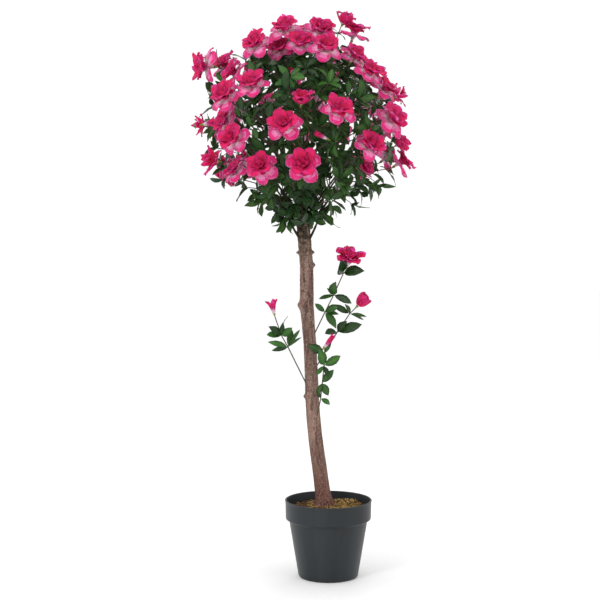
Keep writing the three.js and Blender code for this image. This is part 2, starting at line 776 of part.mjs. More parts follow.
const GOLDEN_ANGLE = 137.508;
for (const shell of SHELLS) {
  for (let i = 0; i < shell.rosettes; i++) {
    const level = blend(CROWN.waist - CROWN.drop, CROWN.waist + CROWN.rise, (i + 0.5) / shell.rosettes);
    const heightShare = level > CROWN.waist ? shell.riseShare : shell.dropShare;
    const height = CROWN.waist + (level - CROWN.waist) * heightShare;
    const bearing = i * GOLDEN_ANGLE + dice(-ROSETTE.bearingJitter, ROSETTE.bearingJitter);
    const point = crownPoint(bearing, height, crownRadius(level) * shell.share);
    const blooms = sprays.flatMap((spray) => spray.blooms);
    if (blooms.every(({ centre }) => centre.distanceTo(point) > ROSETTE.bloomClearance)) {
      growCrownRosette(point, facing(bearing, height, ROSETTE_TILT), shell.leaves);
    }
  }
}

// Sprouts.
function growSprout({ name, root, rosettes, leaves, bloom }) {
  const nodes = rosettes.map((spot) => new THREE.Vector3(...spot));
  const start = trunkCentre(root.height);
  start.addScaledVector(outward(root.bearing), trunkRadius(root.height) - SPROUT.rootRadius);
  const split = start.clone().lerp(nodes[0], SPROUT.boughEnd);
  const uncut = limb([start, split], [SPROUT.rootRadius, SPROUT.tipRadius], STEM.boughSides);
  const bough = { name: `bough_${name}`, solid: joined([uncut.subtract(trunkSpace)]) };
  place(bough.name, "limb", bough.solid);
  const tip = new THREE.Vector3(...bloom.place);
  const stops = [moved(split, nodes[0], SEAT_GAP), ...nodes, tip];
  nodes.forEach((node, i) => {
    const stem = limb([stops[i], node], [TWIG.radius, TWIG.radius], TWIG.sides);
    grow(name, stem);
    place(name, "limb", stem);
  });
  const whorls = nodes.map((node, i) => {
    const axis = stops[i + 2].clone().sub(stops[i]).normalize();
    axis.y -= SPROUT.turnToFront;
    axis.normalize();
    const firstTurn = dice(0, 2 * Math.PI);
    const rosette = rosetteLeaves(node, axis, leaves, ROSETTE.spread, SPROUT.leafScale, firstTurn);
    return { from: moved(node, stops[i], SPROUT.whorlBack), centre: node, axis, leaves: rosette, firstTurn };
  });
  const last = nodes[nodes.length - 1];
  const bare = Array(WHORL.leaves).fill(null);
  whorls.push({ from: last, centre: tip, axis: unit(bloom.lean), leaves: bare, firstTurn: 0, bloom });
  const ownStem = (item) => item.node === name && item.kind === "limb";
  whorls.filter((whorl) => claimTwig(name, whorl)).forEach((whorl) => growSprig(name, whorl, ownStem));
  return bough;
}
const sproutBoughs = SPROUTS.map(growSprout);

const azalea = new THREE.Group();
azalea.add(meshOf("pot", potSolid(), FINISHES.pot));
azalea.add(meshOf("pot_fill", fillSolid(), FINISHES.fill));
azalea.add(meshOf("wood_wool", woolSolid(), FINISHES.wool));
azalea.add(meshOf("trunk", trunk, FINISHES.bark));
for (const { name, solid } of [...boughs, ...sproutBoughs]) {
  azalea.add(meshOf(name, solid, FINISHES.wire));
}
for (const { name, blooms } of sprays) {
  const finish = blooms.length > 0 ? FINISHES.bloom : FINISHES.leaf;
  azalea.add(meshOf(`${name}_spray`, joined(grown.get(name)), finish));
}
for (const { name } of SPROUTS) {
  azalea.add(meshOf(name, joined(grown.get(name)), FINISHES.leaf));
}

export default azalea;
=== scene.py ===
# %% [markdown]
# # An artificial azalea tree in a nursery pot
# The tree is a natural wood trunk with thin wires stuck into its top. Each wire carries a spray of
# coated-cloth leaves and double cloth blooms. A few sprouts stand on the bare trunk, and curled wood
# wool covers the fill of the pot. We load the imported solids first, as every piece of ours has to lie
# where a solid lies.

# %% Load the frame
import math
from functools import cache

import bpy
import numpy as np
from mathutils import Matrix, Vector, noise


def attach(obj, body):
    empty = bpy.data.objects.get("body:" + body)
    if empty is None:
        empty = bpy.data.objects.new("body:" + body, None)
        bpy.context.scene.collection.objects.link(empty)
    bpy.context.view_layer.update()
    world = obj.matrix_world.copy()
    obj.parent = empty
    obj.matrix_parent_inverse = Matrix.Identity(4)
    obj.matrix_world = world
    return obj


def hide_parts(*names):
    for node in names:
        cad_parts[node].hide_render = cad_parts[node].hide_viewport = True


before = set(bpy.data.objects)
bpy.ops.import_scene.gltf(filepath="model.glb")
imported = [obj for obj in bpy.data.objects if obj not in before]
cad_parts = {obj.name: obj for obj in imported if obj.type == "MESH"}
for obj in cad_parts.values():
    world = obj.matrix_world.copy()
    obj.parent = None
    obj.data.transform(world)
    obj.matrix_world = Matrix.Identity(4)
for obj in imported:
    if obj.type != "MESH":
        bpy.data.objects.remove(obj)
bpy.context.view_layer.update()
all_nodes = sorted(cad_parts)
crown_masses = [name for name in all_nodes if name.endswith("_spray")]
sprout_masses = [name for name in all_nodes if name.startswith("sprout_")]
bough_nodes = [name for name in all_nodes if name.startswith("bough_")]
print(len(all_nodes), "solids,", len(crown_masses), "sprays,", len(sprout_masses), "sprouts")

# %% [markdown]
# ## Shapes from rings
# A trunk, a wire, a leaf and a petal are all stacks of rings that differ only in where the rings lie.
# Curves with a bevel would do for wires, but not for leaves. So a skin here is a grid of points, ring
# after ring, and thousands of skins are joined in one mesh. A joined mesh exports as it is, where
# particles or instances would be lost.

# %% Skins and pieces
MM = 0.001


@cache
def grid_faces(rings, sides):
    """The faces of a closed stack of rings: quads between the rings, and a cap at each end."""
    faces = []
    for low in range(0, (rings - 1) * sides, sides):
        for j in range(sides):
            k = (j + 1) % sides
            faces.append((low + j, low + k, low + sides + k, low + sides + j))
    last = (rings - 1) * sides
    return faces + [tuple(range(sides - 1, -1, -1)), tuple(range(last, last + sides))]


def put_in_scene(name, data):
    made = bpy.data.objects.new(name, data)
    bpy.context.scene.collection.objects.link(made)
    return made


def finished(name, skins, materials, stands_for):
    """Joins skins in one mesh, in metres, riding on the part's one body.

    Each skin is a grid of points (rings, sides, 3), in millimetres, and its material's number, or a
    list with a number for each face.
    """
    faces, numbers, start = [], [], 0
    for grid, number in skins:
        own_faces = grid_faces(*grid.shape[:2])
        faces += [tuple(start + index for index in face) for face in own_faces]
        numbers += [number] * len(own_faces) if np.isscalar(number) else number
        start += grid.shape[0] * grid.shape[1]
    mesh = bpy.data.meshes.new(name)
    points = np.concatenate([grid.reshape(-1, 3) for grid, _ in skins]) * MM
    mesh.from_pydata(points.tolist(), [], faces)
    for material in materials:
        mesh.materials.append(material)
    mesh.polygons.foreach_set("material_index", np.array(numbers, np.int32))
    mesh.polygons.foreach_set("use_smooth", np.ones(len(mesh.polygons), bool))
    mesh.update()
    made = put_in_scene(name, mesh)
    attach(made, "root")
    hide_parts(*stands_for)
    mesh.calc_loop_triangles()
    print(name, len(mesh.loop_triangles), "triangles")


# %% Ways and turns
UP = np.array([0.0, 0.0, 1.0])


def unit(way):
    way = np.asarray(way, float)
    return way / np.linalg.norm(way)


def full_turn(sides):
    return np.arange(sides) / sides * 2 * math.pi


def outward(bearing):
    """The level way at a bearing in degrees, counted from the viewer's side towards the right."""
    turn = math.radians(bearing)
    return np.array([math.sin(turn), -math.cos(turn), 0.0])


def square_ways(axis):
    """Two ways square to an axis and to each other."""
    side = np.cross(UP, axis)
    side = np.array([1.0, 0.0, 0.0]) if np.linalg.norm(side) < 0.1 else unit(side)
    return side, np.cross(axis, side)


def bent_line(start, middle, end, steps):
    """Points along a smooth arch that sets out towards the middle point."""
    share = np.linspace(0, 1, steps + 1)[:, None]
    return (1 - share) ** 2 * start + 2 * share * (1 - share) * middle + share**2 * end


def tube(points, radii, sides, number=0):
    """A skin with rings square to a line of points, carried along it without any twist."""
    points = np.asarray(points, float)
    along = np.gradient(points, axis=0)
    along /= np.linalg.norm(along, axis=1)[:, None]
    side = square_ways(along[0])[0]
    turns = full_turn(sides)
    grid = np.empty((len(points), sides, 3))
    for i, way in enumerate(along):
        side = unit(side - side.dot(way) * way)
        ring = np.outer(np.cos(turns), side) + np.outer(np.sin(turns), np.cross(way, side))
        grid[i] = points[i] + ring * radii[i]
    return grid, number


# %% [markdown]
# ## Finishes
# Each of the few finishes has small irregularities: cloth is dyed unevenly, bark is flecked, and
# moulded plastic is slightly wavy. The pot's colour also has upright lighter streaks of painted sheen.
# These effects are shared, so each is a node group that puts out a colour or a height. The Principled
# shader stays in each material, with its fixed values on its own sockets, where an exporter can read
# them.

# %% Node group: uneven colour
def add_node(tree, kind, values, **settings):
    """A shader node. Its values are constants, or outputs of other nodes that are linked in."""
    node = tree.nodes.new("ShaderNode" + kind)
    for setting, value in settings.items():
        setattr(node, setting, value)
    for socket, value in values.items():
        if isinstance(value, bpy.types.NodeSocket):
            tree.links.new(value, node.inputs[socket])
        else:
            node.inputs[socket].default_value = value
    return node


def add_node_group(tree, group, values):
    """A group node: the group is set first, because its sockets come from the group."""
    return add_node(tree, "Group", values, node_tree=group).outputs[0]


def times(tree, first, second):
    return add_node(tree, "Math", {0: first, 1: second}, operation="MULTIPLY").outputs[0]


def mask_between(tree, value, low, high):
    """A mask: 0 where a value is at low, 1 where it is at high."""
    return add_node(tree, "MapRange", {"Value": value, "From Min": low, "From Max": high}).outputs["Result"]


def mixed(tree, share, first, second, data_type="RGBA"):
    values = {"Factor": share, "A": first, "B": second}
    return add_node(tree, "Mix", values, data_type=data_type).outputs["Result"]


def stretched_place(tree, stretch):
    """The place on the object, times a stretch that draws a pattern out or squeezes it."""
    place = add_node(tree, "TexCoord", {}).outputs["Object"]
    return add_node(tree, "VectorMath", {0: place, 1: stretch}, operation="MULTIPLY").outputs[0]


def new_group(name, inputs, outcome, kind):
    """An empty node group with its inputs, each with its kind, and one output."""
    group = bpy.data.node_groups.new(name, "ShaderNodeTree")
    add_socket = group.interface.new_socket
    for label, input_kind in inputs.items():
        add_socket(name=label, in_out="INPUT", socket_type="NodeSocket" + input_kind)
    add_socket(name=outcome, in_out="OUTPUT", socket_type="NodeSocket" + kind)
    entry, leave = group.nodes.new("NodeGroupInput"), group.nodes.new("NodeGroupOutput")
    return group, entry.outputs, leave.inputs[outcome]


def uneven_colour_group():
    """A colour that drifts lighter and darker over the surface, as dye, dust and age leave it; on the pot
    it is painted sheen.
    """
    inputs = {"Colour": "Color", "Second colour": "Color", "Amount": "Float"}
    inputs |= {"Scale": "Float", "Stretch": "Vector"}
    group, given, outcome = new_group("uneven_colour", inputs, "Colour", "Color")
    look = {"Vector": stretched_place(group, given["Stretch"]), "Scale": given["Scale"]}
    clouds = add_node(group, "TexNoise", look | {"Detail": 5, "Roughness": 0.6}).outputs["Fac"]
    share = times(group, mask_between(group, clouds, 0.35, 0.65), given["Amount"])
    group.links.new(mixed(group, share, given["Colour"], given["Second colour"]), outcome)
    return group


# %% Node group: fine grain
def fine_grain_group():
    """A height for small grain: the weave of cloth, the pores of bark or the skin of plastic."""
    inputs = {"Scale": "Float", "Stretch": "Vector", "Ridges": "Float"}
    group, given, outcome = new_group("fine_grain", inputs, "Height", "Float")
    look = {"Vector": stretched_place(group, given["Stretch"]), "Scale": given["Scale"]}
    clouds = add_node(group, "TexNoise", look | {"Detail": 3}).outputs["Fac"]
    cells = add_node(group, "TexVoronoi", look).outputs["Distance"]
    group.links.new(mixed(group, given["Ridges"], clouds, cells, "FLOAT"), outcome)
    return group


UNEVEN_COLOUR = uneven_colour_group()
FINE_GRAIN = fine_grain_group()
print("node groups:", UNEVEN_COLOUR.name, FINE_GRAIN.name)

# %% One recipe for a finish
def linear(colour):
    """An everyday sRGB colour, 0 to 255, as the shader wants it."""
    share = np.array(colour, float) / 255
    low, high = share / 12.92, ((share + 0.055) / 1.055) ** 2.4
    return (*np.where(share <= 0.04045, low, high), 1.0)


def finish(name, colour, second, amount, scale, rough, gloss=0.5, stretch=(1, 1, 1), grain=None, **more):
    """A material whose colour drifts between two colours. grain is its scale, ridges and depth in mm."""
    material = bpy.data.materials.new(name)
    material.use_nodes = True
    tree = material.node_tree
    shader = tree.nodes["Principled BSDF"].inputs
    for socket, value in ({"Roughness": rough, "Specular_IOR_Level": gloss} | more).items():
        shader[socket.replace("_", " ")].default_value = value
    drift = {"Colour": linear(colour), "Second colour": linear(second), "Amount": amount}
    drift |= {"Scale": scale, "Stretch": stretch}
    tint = add_node_group(tree, UNEVEN_COLOUR, drift)
    tree.links.new(tint, shader["Base Color"])
    if grain:
        fineness, ridges, depth = grain
        values = {"Scale": fineness, "Stretch": stretch, "Ridges": ridges}
        relief = add_node_group(tree, FINE_GRAIN, values)
        bump = add_node(tree, "Bump", {"Distance": depth * MM, "Height": relief})
        tree.links.new(bump.outputs["Normal"], shader["Normal"])
    return material


# %% [markdown]
# ## The pot
# The pot is injection moulded: a thin tapering wall, a deep band at the top with a small step under
# it, and a rolled rim. A lathed profile is the natural way to make it. Extra points in the profile
# round the edges instead of a bevel, so every ring stays in its place. The inside is lathed too, as
# it shows behind the trunk.

# %% Lathe the pot
POT_PROFILE = [
    (0, 0), (53, 0), (54, 1.2), (58, 1.2), (59, 0), (61.4, 0), (63.6, 1.1), (65.2, 4),
    (84.7, 120.6), (85.2, 122.4), (87.4, 124.6), (88.4, 125), (91.6, 126.6), (92.4, 128),
    (92.6, 129.6), (93.2, 161.5), (93.5, 164.6), (94, 165.2), (94.3, 166.2), (94.2, 167.3),
    (93.5, 168), (91.9, 168), (91, 167.6), (90.7, 166.6), (90, 130), (89.6, 127.6),
    (82.4, 121), (62.9, 5), (61.6, 3.6), (0, 3.5),
]
POT_SIDES = 128


def lathed(profile, sides):
    """A closed grid round the upright axis. The profile starts and ends on that axis."""
    profile = np.array(profile, float)
    profile[:, 0] = np.maximum(profile[:, 0], 0.01)
    turns = full_turn(sides)
    ring = np.stack([np.cos(turns), np.sin(turns), np.zeros(sides)], axis=1)
    return profile[:, :1, None] * ring + profile[:, 1:, None] * UP


# The colour drifts in upright streaks, lighter and darker: painted sheen on the plastic.
pot_plastic = finish(
    "pot_plastic", (46, 51, 54), (34, 36, 38), amount=0.8, scale=16, rough=0.4, gloss=0.22,
    stretch=(1, 1, 0.1), grain=(900, 0.2, 0.12),
)
finished("pot_body", [(lathed(POT_PROFILE, POT_SIDES), 0)], [pot_plastic], ["pot"])

cast_fill = finish(
    "cast_fill", (138, 135, 128), (112, 110, 104), amount=0.7, scale=40, rough=0.92,
    grain=(300, 0.6, 0.8),
)
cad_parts["pot_fill"].data.materials.clear()
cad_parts["pot_fill"].data.materials.append(cast_fill)

# %% [markdown]
# ## The trunk
# The trunk is a real branch: it leans to the left, bends twice and has stubs where side shoots were
# cut. Sculpting it would be slow to repeat, so noise that is stretched along the wood makes broad
# flutes, finer fissures and short cross wrinkles. It moves the points of the mesh, because a bump
# map alone would leave the outline as smooth as a pipe.

# %% The trunk's line
TRUNK_FOOT, TRUNK_TOP, TRUNK_BOW = 155.3, 896.0, 6.0
FLARE_RADIUS, FLARE_HEIGHT = 7.5, 14.0
# Height, how far the middle leans to the right, radius.
TRUNK_RINGS = np.array([
    (TRUNK_FOOT, -8.4, 16.4), (TRUNK_FOOT + 8, -9, 16.3), (178, -10.8, 16.2), (200, -14.1, 16),
    (232, -18.6, 15.9), (268, -23.8, 15.7), (308, -28.7, 15.1), (350, -32.6, 14.9), (395, -35.3, 14.6),
    (450, -37.6, 14.3), (505, -40, 14), (548, -43.6, 14.1), (589, -47.2, 15), (640, -47, 14.5),
    (677, -47.4, 14.3), (716, -50.6, 13.9), (774, -55.9, 13.1), (835, -58.8, 11.4), (TRUNK_TOP, -60, 9.5),
])
# Stubs of side shoots: height, bearing, how far they stand out, radius.
KNOTS = [(392, -80, 3, 5), (589, -84, 4, 8), (676, 88, 4, 5), (702, -86, 5, 3.5), (703, 82, 5, 3.5)]


def trunk_centre(height):
    share = (height - TRUNK_FOOT) / (TRUNK_TOP - TRUNK_FOOT)
    x = np.interp(height, TRUNK_RINGS[:, 0], TRUNK_RINGS[:, 1])
    return np.array([x, TRUNK_BOW * math.sin(math.pi * share), height])


def trunk_radius(height):
    flare = FLARE_RADIUS * math.exp(-(height - TRUNK_FOOT) / FLARE_HEIGHT)
    return np.interp(height, TRUNK_RINGS[:, 0], TRUNK_RINGS[:, 2]) + flare


# %% Bark relief
BARK_SIDES, BARK_STEP, NEAR_RINGS = 84, 1.5, 30
SCALY_FROM, SCALY_FULL = 690, 760


def bark_relief(turn, height):
    """How far the bark stands out at a place on the trunk, in millimetres."""
    around = Vector((math.cos(turn), math.sin(turn), 0))

    def waves(across, along, shift=0):
        return noise.noise(around * across + Vector((shift, 0, height / along)))

    flutes, fissures = waves(1.6, 130), waves(5, 38, 7)
    cracks = max(0.0, 1 - abs(waves(6.5, 30, 3)) / 0.07)
    scaly = min(max((height - SCALY_FROM) / (SCALY_FULL - SCALY_FROM), 0), 1)
    scales = abs(waves(4.5, 7, 11)) + 0.6 * abs(waves(9, 4, 5))
    foot = math.exp(-(height - TRUNK_FOOT) / 13)
    roots = foot * (3.2 * math.sin(7 * turn + 4 * flutes) + 2.6 * waves(7, 5, 9))
    smooth = 0.9 * flutes - 0.8 * abs(fissures) + 0.45 * waves(13, 10) + 0.25 * waves(3, 2.6)
    return smooth - 0.8 * cracks + 3.2 * scaly * scales + roots


def knot_bulge(bearing, height):
    """How far the nearest stub lifts the bark."""
    bulge = 0.0
    for knot_height, knot_bearing, stand_out, radius in KNOTS:
        apart = (bearing - knot_bearing + 180) % 360 - 180
        across = math.radians(apart) * trunk_radius(knot_height)
        distance = math.hypot(across, height - knot_height - 0.4 * stand_out)
        bulge = max(bulge, 1.25 * stand_out * math.exp(-((distance / radius) ** 2)))
    return bulge


heights = np.arange(TRUNK_FOOT, TRUNK_TOP + BARK_STEP, BARK_STEP).clip(max=TRUNK_TOP)
bearings = np.arange(BARK_SIDES) / BARK_SIDES * 360
relief = np.array([[bark_relief(math.radians(b), height) for b in bearings] for height in heights])
trunk_grid = np.empty((len(heights), BARK_SIDES, 3))
for i, height in enumerate(heights):
    # The relief swings about the true radius: without this the trunk would come out too thin.
    relief[i] -= relief[max(i - NEAR_RINGS, 0):i + NEAR_RINGS + 1].mean()
    centre, radius = trunk_centre(height), trunk_radius(height)
    for j, bearing in enumerate(bearings):
        stand_out = radius + relief[i, j] + knot_bulge(bearing, height)
        trunk_grid[i, j] = centre + outward(bearing) * stand_out
print("bark points:", relief.size, "relief in mm:", round(relief.min(), 1), "to", round(relief.max(), 1))

# %% [markdown]
# ## Bark colours
# The wood is greyish brown with a red cast. It has dark cracks along it and pale flecks across it, a
# redder, gritty foot and a grey scaly top. A painted texture would need an unwrapped trunk. So the
# colour is built up in coats: each is one colour, laid where its masks are white. A mask comes from
# a noise or a Voronoi texture, drawn out along the trunk or squeezed to lie across it.

# %% The bark's material
NOISE, CELLS = "TexNoise", "TexVoronoi"
FOOT, TOP = (250, 168), (SCALY_FROM - 20, SCALY_FULL)
# Each coat is its strength, its colour and its masks. A mask is a texture with its stretch, its scale
# and the values where the mask is 0 and 1, or two heights where it is 0 and 1.
BARK_COATS = [
    # Long streaks, cracks where a noise passes its middle value, and fine dark grains.
    (0.42, (78, 56, 50), [(NOISE, (1, 1, 0.12), 120, 0.5, 0.66)]),
    (0.8, (52, 36, 32), [(NOISE, (1, 1, 0.16), 75, 0.48, 0.52), (NOISE, (1, 1, 0.16), 75, 0.56, 0.52)]),
    (0.6, (72, 52, 48), [(NOISE, (1, 1, 0.6), 330, 0.5, 0.62)]),
    # Pale flecks in some places only.
    (0.8, (190, 170, 154), [(CELLS, (1, 1, 1.5), 210, 0.34, 0.14), (NOISE, (1, 1, 1), 60, 0.42, 0.56)]),
    # Painted shade, darker and redder towards the bottom; then a redder, gritty foot with pale crumbs.
    (0.5, (104, 74, 64), [(480, 220)]),
    (0.5, (118, 74, 64), [FOOT]),
    (0.75, (62, 38, 34), [FOOT, (NOISE, (1, 1, 1), 290, 0.47, 0.55)]),
    (0.6, (182, 138, 118), [FOOT, (CELLS, (1, 1, 1), 260, 0.32, 0.16)]),
    # The grey scales of the top, with dark seams between them.
    (0.62, (104, 94, 70), [TOP]),
    (1.0, (44, 34, 28), [TOP, (CELLS, (1, 1, 1.5), 95, 0.42, 0.66)]),
]


def height_mask(tree, low, high):
    place = add_node(tree, "TexCoord", {}).outputs["Object"]
    height = add_node(tree, "SeparateXYZ", {0: place}).outputs["Z"]
    return mask_between(tree, height, low * MM, high * MM)


def patch_mask(tree, texture, stretch, scale, low, high):
    pattern = add_node(tree, texture, {"Vector": stretched_place(tree, stretch), "Scale": scale})
    value = pattern.outputs["Fac" if texture == NOISE else "Distance"]
    return mask_between(tree, value, low, high)


bark = finish(
    "bark", (166, 138, 125), (116, 92, 83), amount=0.95, scale=34, rough=0.9, gloss=0.15,
    stretch=(1, 1, 0.2), grain=(420, 0.7, 1.1),
)
bark_tree = bark.node_tree
base_colour = bark_tree.nodes["Principled BSDF"].inputs["Base Color"]
under = base_colour.links[0].from_socket
for share, colour, masks in BARK_COATS:
    for mask in masks:
        made = (height_mask if len(mask) == 2 else patch_mask)(bark_tree, *mask)
        share = times(bark_tree, made, share)
    under = mixed(bark_tree, share, under, linear(colour))
bark_tree.links.new(under, base_colour)
finished("trunk_bark", [(trunk_grid, 0)], [bark], ["trunk"])

# %% [markdown]
# ## Wood wool
# Curled shavings cover the cast fill. They mound up against the trunk and at the right and back, and
# some patches are dull brown. More strands are brown at the left, which is painted shade. A hair
# system would be the obvious way, but it isn't exported as a mesh. So thin strands are bent in code,
# over a lumpy mat that closes the view between them. The mat's dark brown is painted shade, the dark
# of the gaps between strands.

# %% A lumpy mat
WOOL_FOOT, WOOL_EDGE, WOOL_MIDDLE, WOOL_RADIUS = 136.4, 149.5, 156.0, 88.7
MAT_SIDES, MAT_RINGS = 72, 34


def wool_height(x, y):
    """The mat's top: highest round the trunk, and lumpy."""
    from_trunk = math.hypot(x - trunk_centre(TRUNK_FOOT)[0], y)
    mound = 9 * math.exp(-((from_trunk / 30) ** 2))
    share = min(math.hypot(x, y) / WOOL_RADIUS, 1)
    lumps = 1.7 * noise.noise(Vector((x / 11, y / 11, 5))) + 0.9 * noise.noise(Vector((x / 4, y / 4, 2)))
    return WOOL_MIDDLE - 5 + (WOOL_EDGE - WOOL_MIDDLE + 3) * share**2 + mound + lumps * (1 - 0.6 * share)


mat_turns = full_turn(MAT_SIDES)
mat_rings = [[(WOOL_RADIUS * math.cos(t), WOOL_RADIUS * math.sin(t), WOOL_FOOT) for t in mat_turns]]
for share in np.linspace(1, 0.004, MAT_RINGS):
    reach = WOOL_RADIUS * share
    ring = [(reach * math.cos(t), reach * math.sin(t)) for t in mat_turns]
    mat_rings.append([(x, y, wool_height(x, y)) for x, y in ring])
# The mat's dark brown is painted shade, the dark of the gaps between strands.
mat_painted_shade = finish(
    "wool_shade", (62, 40, 24), (30, 20, 13), amount=0.9, scale=120, rough=0.95, gloss=0.1,
    grain=(700, 0.5, 1.2),
)
finished("wool_mat", [(np.array(mat_rings), 0)], [mat_painted_shade], ["wood_wool"])

# %% Curl the strands
STRANDS, STRAND_POINTS = 900, 12
# Where the strands heap up, how wide the heap is, and how high.
HEAP_X, HEAP_Y, HEAP_WIDTH, HEAP_HEIGHT = 40, 40, 36, 5.5
# The shares of gold, tan, brown and straw strands, and the same where strands are browned: in dull
# patches, and more often at the left, where the brown is painted shade.
TONES, BROWNED_TONES = [0.4, 0.28, 0.18, 0.14], [0.06, 0.2, 0.72, 0.02]
# The dull patches' size in mm and the noise value where they start; left of the last place, in mm, painted
# shade browns more strands.
DULL_PATCH, DULL_FROM, PAINTED_SHADE_LEFT_OF = 24, 0.16, -30
wool_dice = np.random.default_rng(711)


def strand(dice):
    """One curled shaving that lies on the mat."""
    reach = WOOL_RADIUS * math.sqrt(dice.uniform(0.02, 0.93))
    turn = dice.uniform(0, 2 * math.pi)
    x, y = reach * math.cos(turn), reach * math.sin(turn)
    heading, curl = dice.uniform(0, 2 * math.pi), dice.normal(0, 0.3)
    step = dice.uniform(2.0, 4.2)
    heap = HEAP_HEIGHT * math.exp(-(math.hypot(x - HEAP_X, y - HEAP_Y) / HEAP_WIDTH) ** 2)
    lift, phase = dice.uniform(0.2, 4.2) + heap, dice.uniform(0, 6)
    # Strands are browned in dull patches, and more often at the left as painted shade.
    patch = noise.noise(Vector((x / DULL_PATCH, y / DULL_PATCH, 8)))
    browned = patch + 0.5 * (x < PAINTED_SHADE_LEFT_OF) > DULL_FROM
    points = []
    for k in range(STRAND_POINTS):
        height = wool_height(x, y) + 0.3 + lift * (0.5 + 0.5 * math.sin(phase + 0.9 * k))
        points.append((x, y, height))
        heading += curl + dice.normal(0, 0.12)
        next_x, next_y = x + step * math.cos(heading), y + step * math.sin(heading)
        if math.hypot(next_x, next_y) > WOOL_RADIUS - 1.5:
            heading += math.pi / 2
            next_x, next_y = x * 0.985, y * 0.985
        x, y = next_x, next_y
    thick = dice.uniform(0.34, 0.66)
    radii = np.full(STRAND_POINTS, thick)
    radii[[0, -1]] = thick * 0.4
    tone = dice.choice(len(TONES), p=BROWNED_TONES if browned else TONES)
    return tube(points, radii, 4, int(tone))


strand_finishes = [
    finish(f"wool_{tone}", colour, shade, amount=0.8, scale=150, rough=0.75, gloss=0.2)
    for tone, colour, shade in [
        ("gold", (196, 158, 84), (124, 92, 46)), ("tan", (146, 124, 70), (84, 66, 38)),
        ("brown", (92, 56, 40), (50, 32, 24)), ("straw", (226, 202, 134), (166, 136, 76)),
    ]
]
strands = [strand(wool_dice) for _ in range(STRANDS)]
finished("wool_strands", strands, strand_finishes, ["wood_wool"])

# %% [markdown]
# ## The crown's rule
# Modelling each twig by hand would take days. The solids were grown by a rule, and we follow it with
# finer twigs. Each spray has a wire that arches out of the trunk and forks into twigs, which end in a
# bloom or in a rosette of leaves. The blooms that face us are listed one by one, because their places
# make the likeness. Those at the back stand on rings.

# %% Where the sprays and blooms are
CROWN_X, WAIST, CROWN_RADIUS, CROWN_RISE, CROWN_DROP, CROWN_FOOT = -58, 970, 222, 236, 204, 40
# Each bloom is bearing, height, distance from the crown's axis and size beside a full bloom. Then,
# where it differs from the rule, its form and how many degrees it tilts up and turns right.
PLAIN_BLOOM = ("open", 0, 0)
SPRAYS = {
    "top_left": [(-21, 1170, 96, 0.94), (-40, 1138, 146, 0.94), (-30, 1131, 92, 0.88)],
    "top_front": [(28, 1170, 84, 0.96), (18, 1126, 160, 0.96), (-1, 1140, 112, 0.86)],
    "top_right": [(84, 1200, 94, 0.84, "cup"), (92, 1172, 112, 1, "open", 8, -34)],
    "right_upper": [
        (52, 1114, 138, 0.86), (50, 1080, 182, 0.96), (66, 1048, 190, 0.96),
        (92, 1044, 212, 0.86, "star", -8),
    ],
    "right_middle": [(58, 985, 220, 1.05), (41, 929, 210, 0.95), (70, 938, 222, 0.78, "cup")],
    "right_low": [(86, 898, 212, 0.95), (56, 890, 160, 0.72, "cup")],
    "front_high": [(20, 999, 216, 0.96), (0, 1023, 212, 0.84, "cup", 32)],
    "front_middle": [(-9, 968, 222, 1), (12, 948, 180, 0.85, "bud", -10, -84)],
    "front_low": [(1, 889, 204, 1), (-24, 886, 198, 0.94)],
    "left_top": [
        (-94, 1101, 208, 1.1, "open", -38, 24), (-110, 1108, 176, 0.95, "open", 0, 50),
        (-70, 1084, 150, 0.9, "open", -20),
    ],
    "left_upper": [(-29, 1051, 204, 0.95), (-50, 1031, 204, 0.96)],
    "left_middle": [
        (-86, 977, 218, 0.84, "star", -30, 24), (-62, 980, 180, 0.9),
        (-74, 978, 200, 0.8, "trumpet", -20, 158), (-41, 944, 212, 0.95),
    ],
    "left_low": [(-72, 903, 203, 1.08, "star", -30, 20), (-52, 876, 178, 0.8, "open", 16)],
}
# Bearing, height and how many blooms, for the sprays that the front hides or that have no bloom.
OTHER_SPRAYS = {
    "back_top": (176, 1122, 3), "back_left_high": (-146, 1048, 3), "back_right_high": (126, 1060, 3),
    "back_middle": (170, 985, 3), "back_left_low": (-126, 916, 3), "back_right_low": (120, 926, 3),
    "skirt_front": (12, 806, 0), "skirt_right": (84, 806, 0), "skirt_back": (176, 806, 0),
    "skirt_left": (-76, 806, 0),
}
RING_RADIUS, RING_TURN, RING_SHARE = 52, 80, 0.96
# Degrees above level: at the crown's waist, more of it for each rise, and less for each drop.
BLOOM_TILT, ROSETTE_TILT = (34, 26, 10), (18, 52, 16)


def crown_radius(height):
    if height > WAIST:
        return CROWN_RADIUS * math.sqrt(max(1 - ((height - WAIST) / CROWN_RISE) ** 2, 0))
    return max(CROWN_RADIUS * (1 - ((WAIST - height) / CROWN_DROP) ** 2), CROWN_FOOT)


def crown_point(bearing, height, reach):
    return np.array([CROWN_X, 0.0, height]) + outward(bearing) * reach


def facing(bearing, height, tilts, more=0):
    """The way that a bloom or rosette faces: up at the crown's top, half up at its waist."""
    rise = (height - WAIST) / CROWN_RISE
    tilt = math.radians(tilts[0] + rise * (tilts[1] if rise > 0 else tilts[2]) + more)
    return outward(bearing) * math.cos(tilt) + UP * math.sin(tilt)


def ring_blooms(bearing, height, count, dice):
    """Blooms of a hidden spray, on a ring round its bearing and height."""
    rows = []
    for k in range(count):
        turn = math.radians(RING_TURN + k / count * 360)
        bloom_height = height + RING_RADIUS * math.sin(turn)
        reach = crown_radius(bloom_height) * RING_SHARE
        shift = math.degrees(RING_RADIUS * math.cos(turn) / reach)
        rows.append((bearing + shift, bloom_height, reach, dice.uniform(0.8, 1)))
    return rows


# %% Each spray's wire
ROOTS_LOW, ROOTS_HIGH, SPRAYS_FROM, SPRAYS_TO = 716, 850, 806, 1150
STEM_SHARE, STEM_ARCH, WIRE_STEPS = 0.6, 0.14, 20
# How many degrees the blooms' ways stray from the rule.
AXIS_SPREAD = 6
crown_dice = np.random.default_rng(4181)


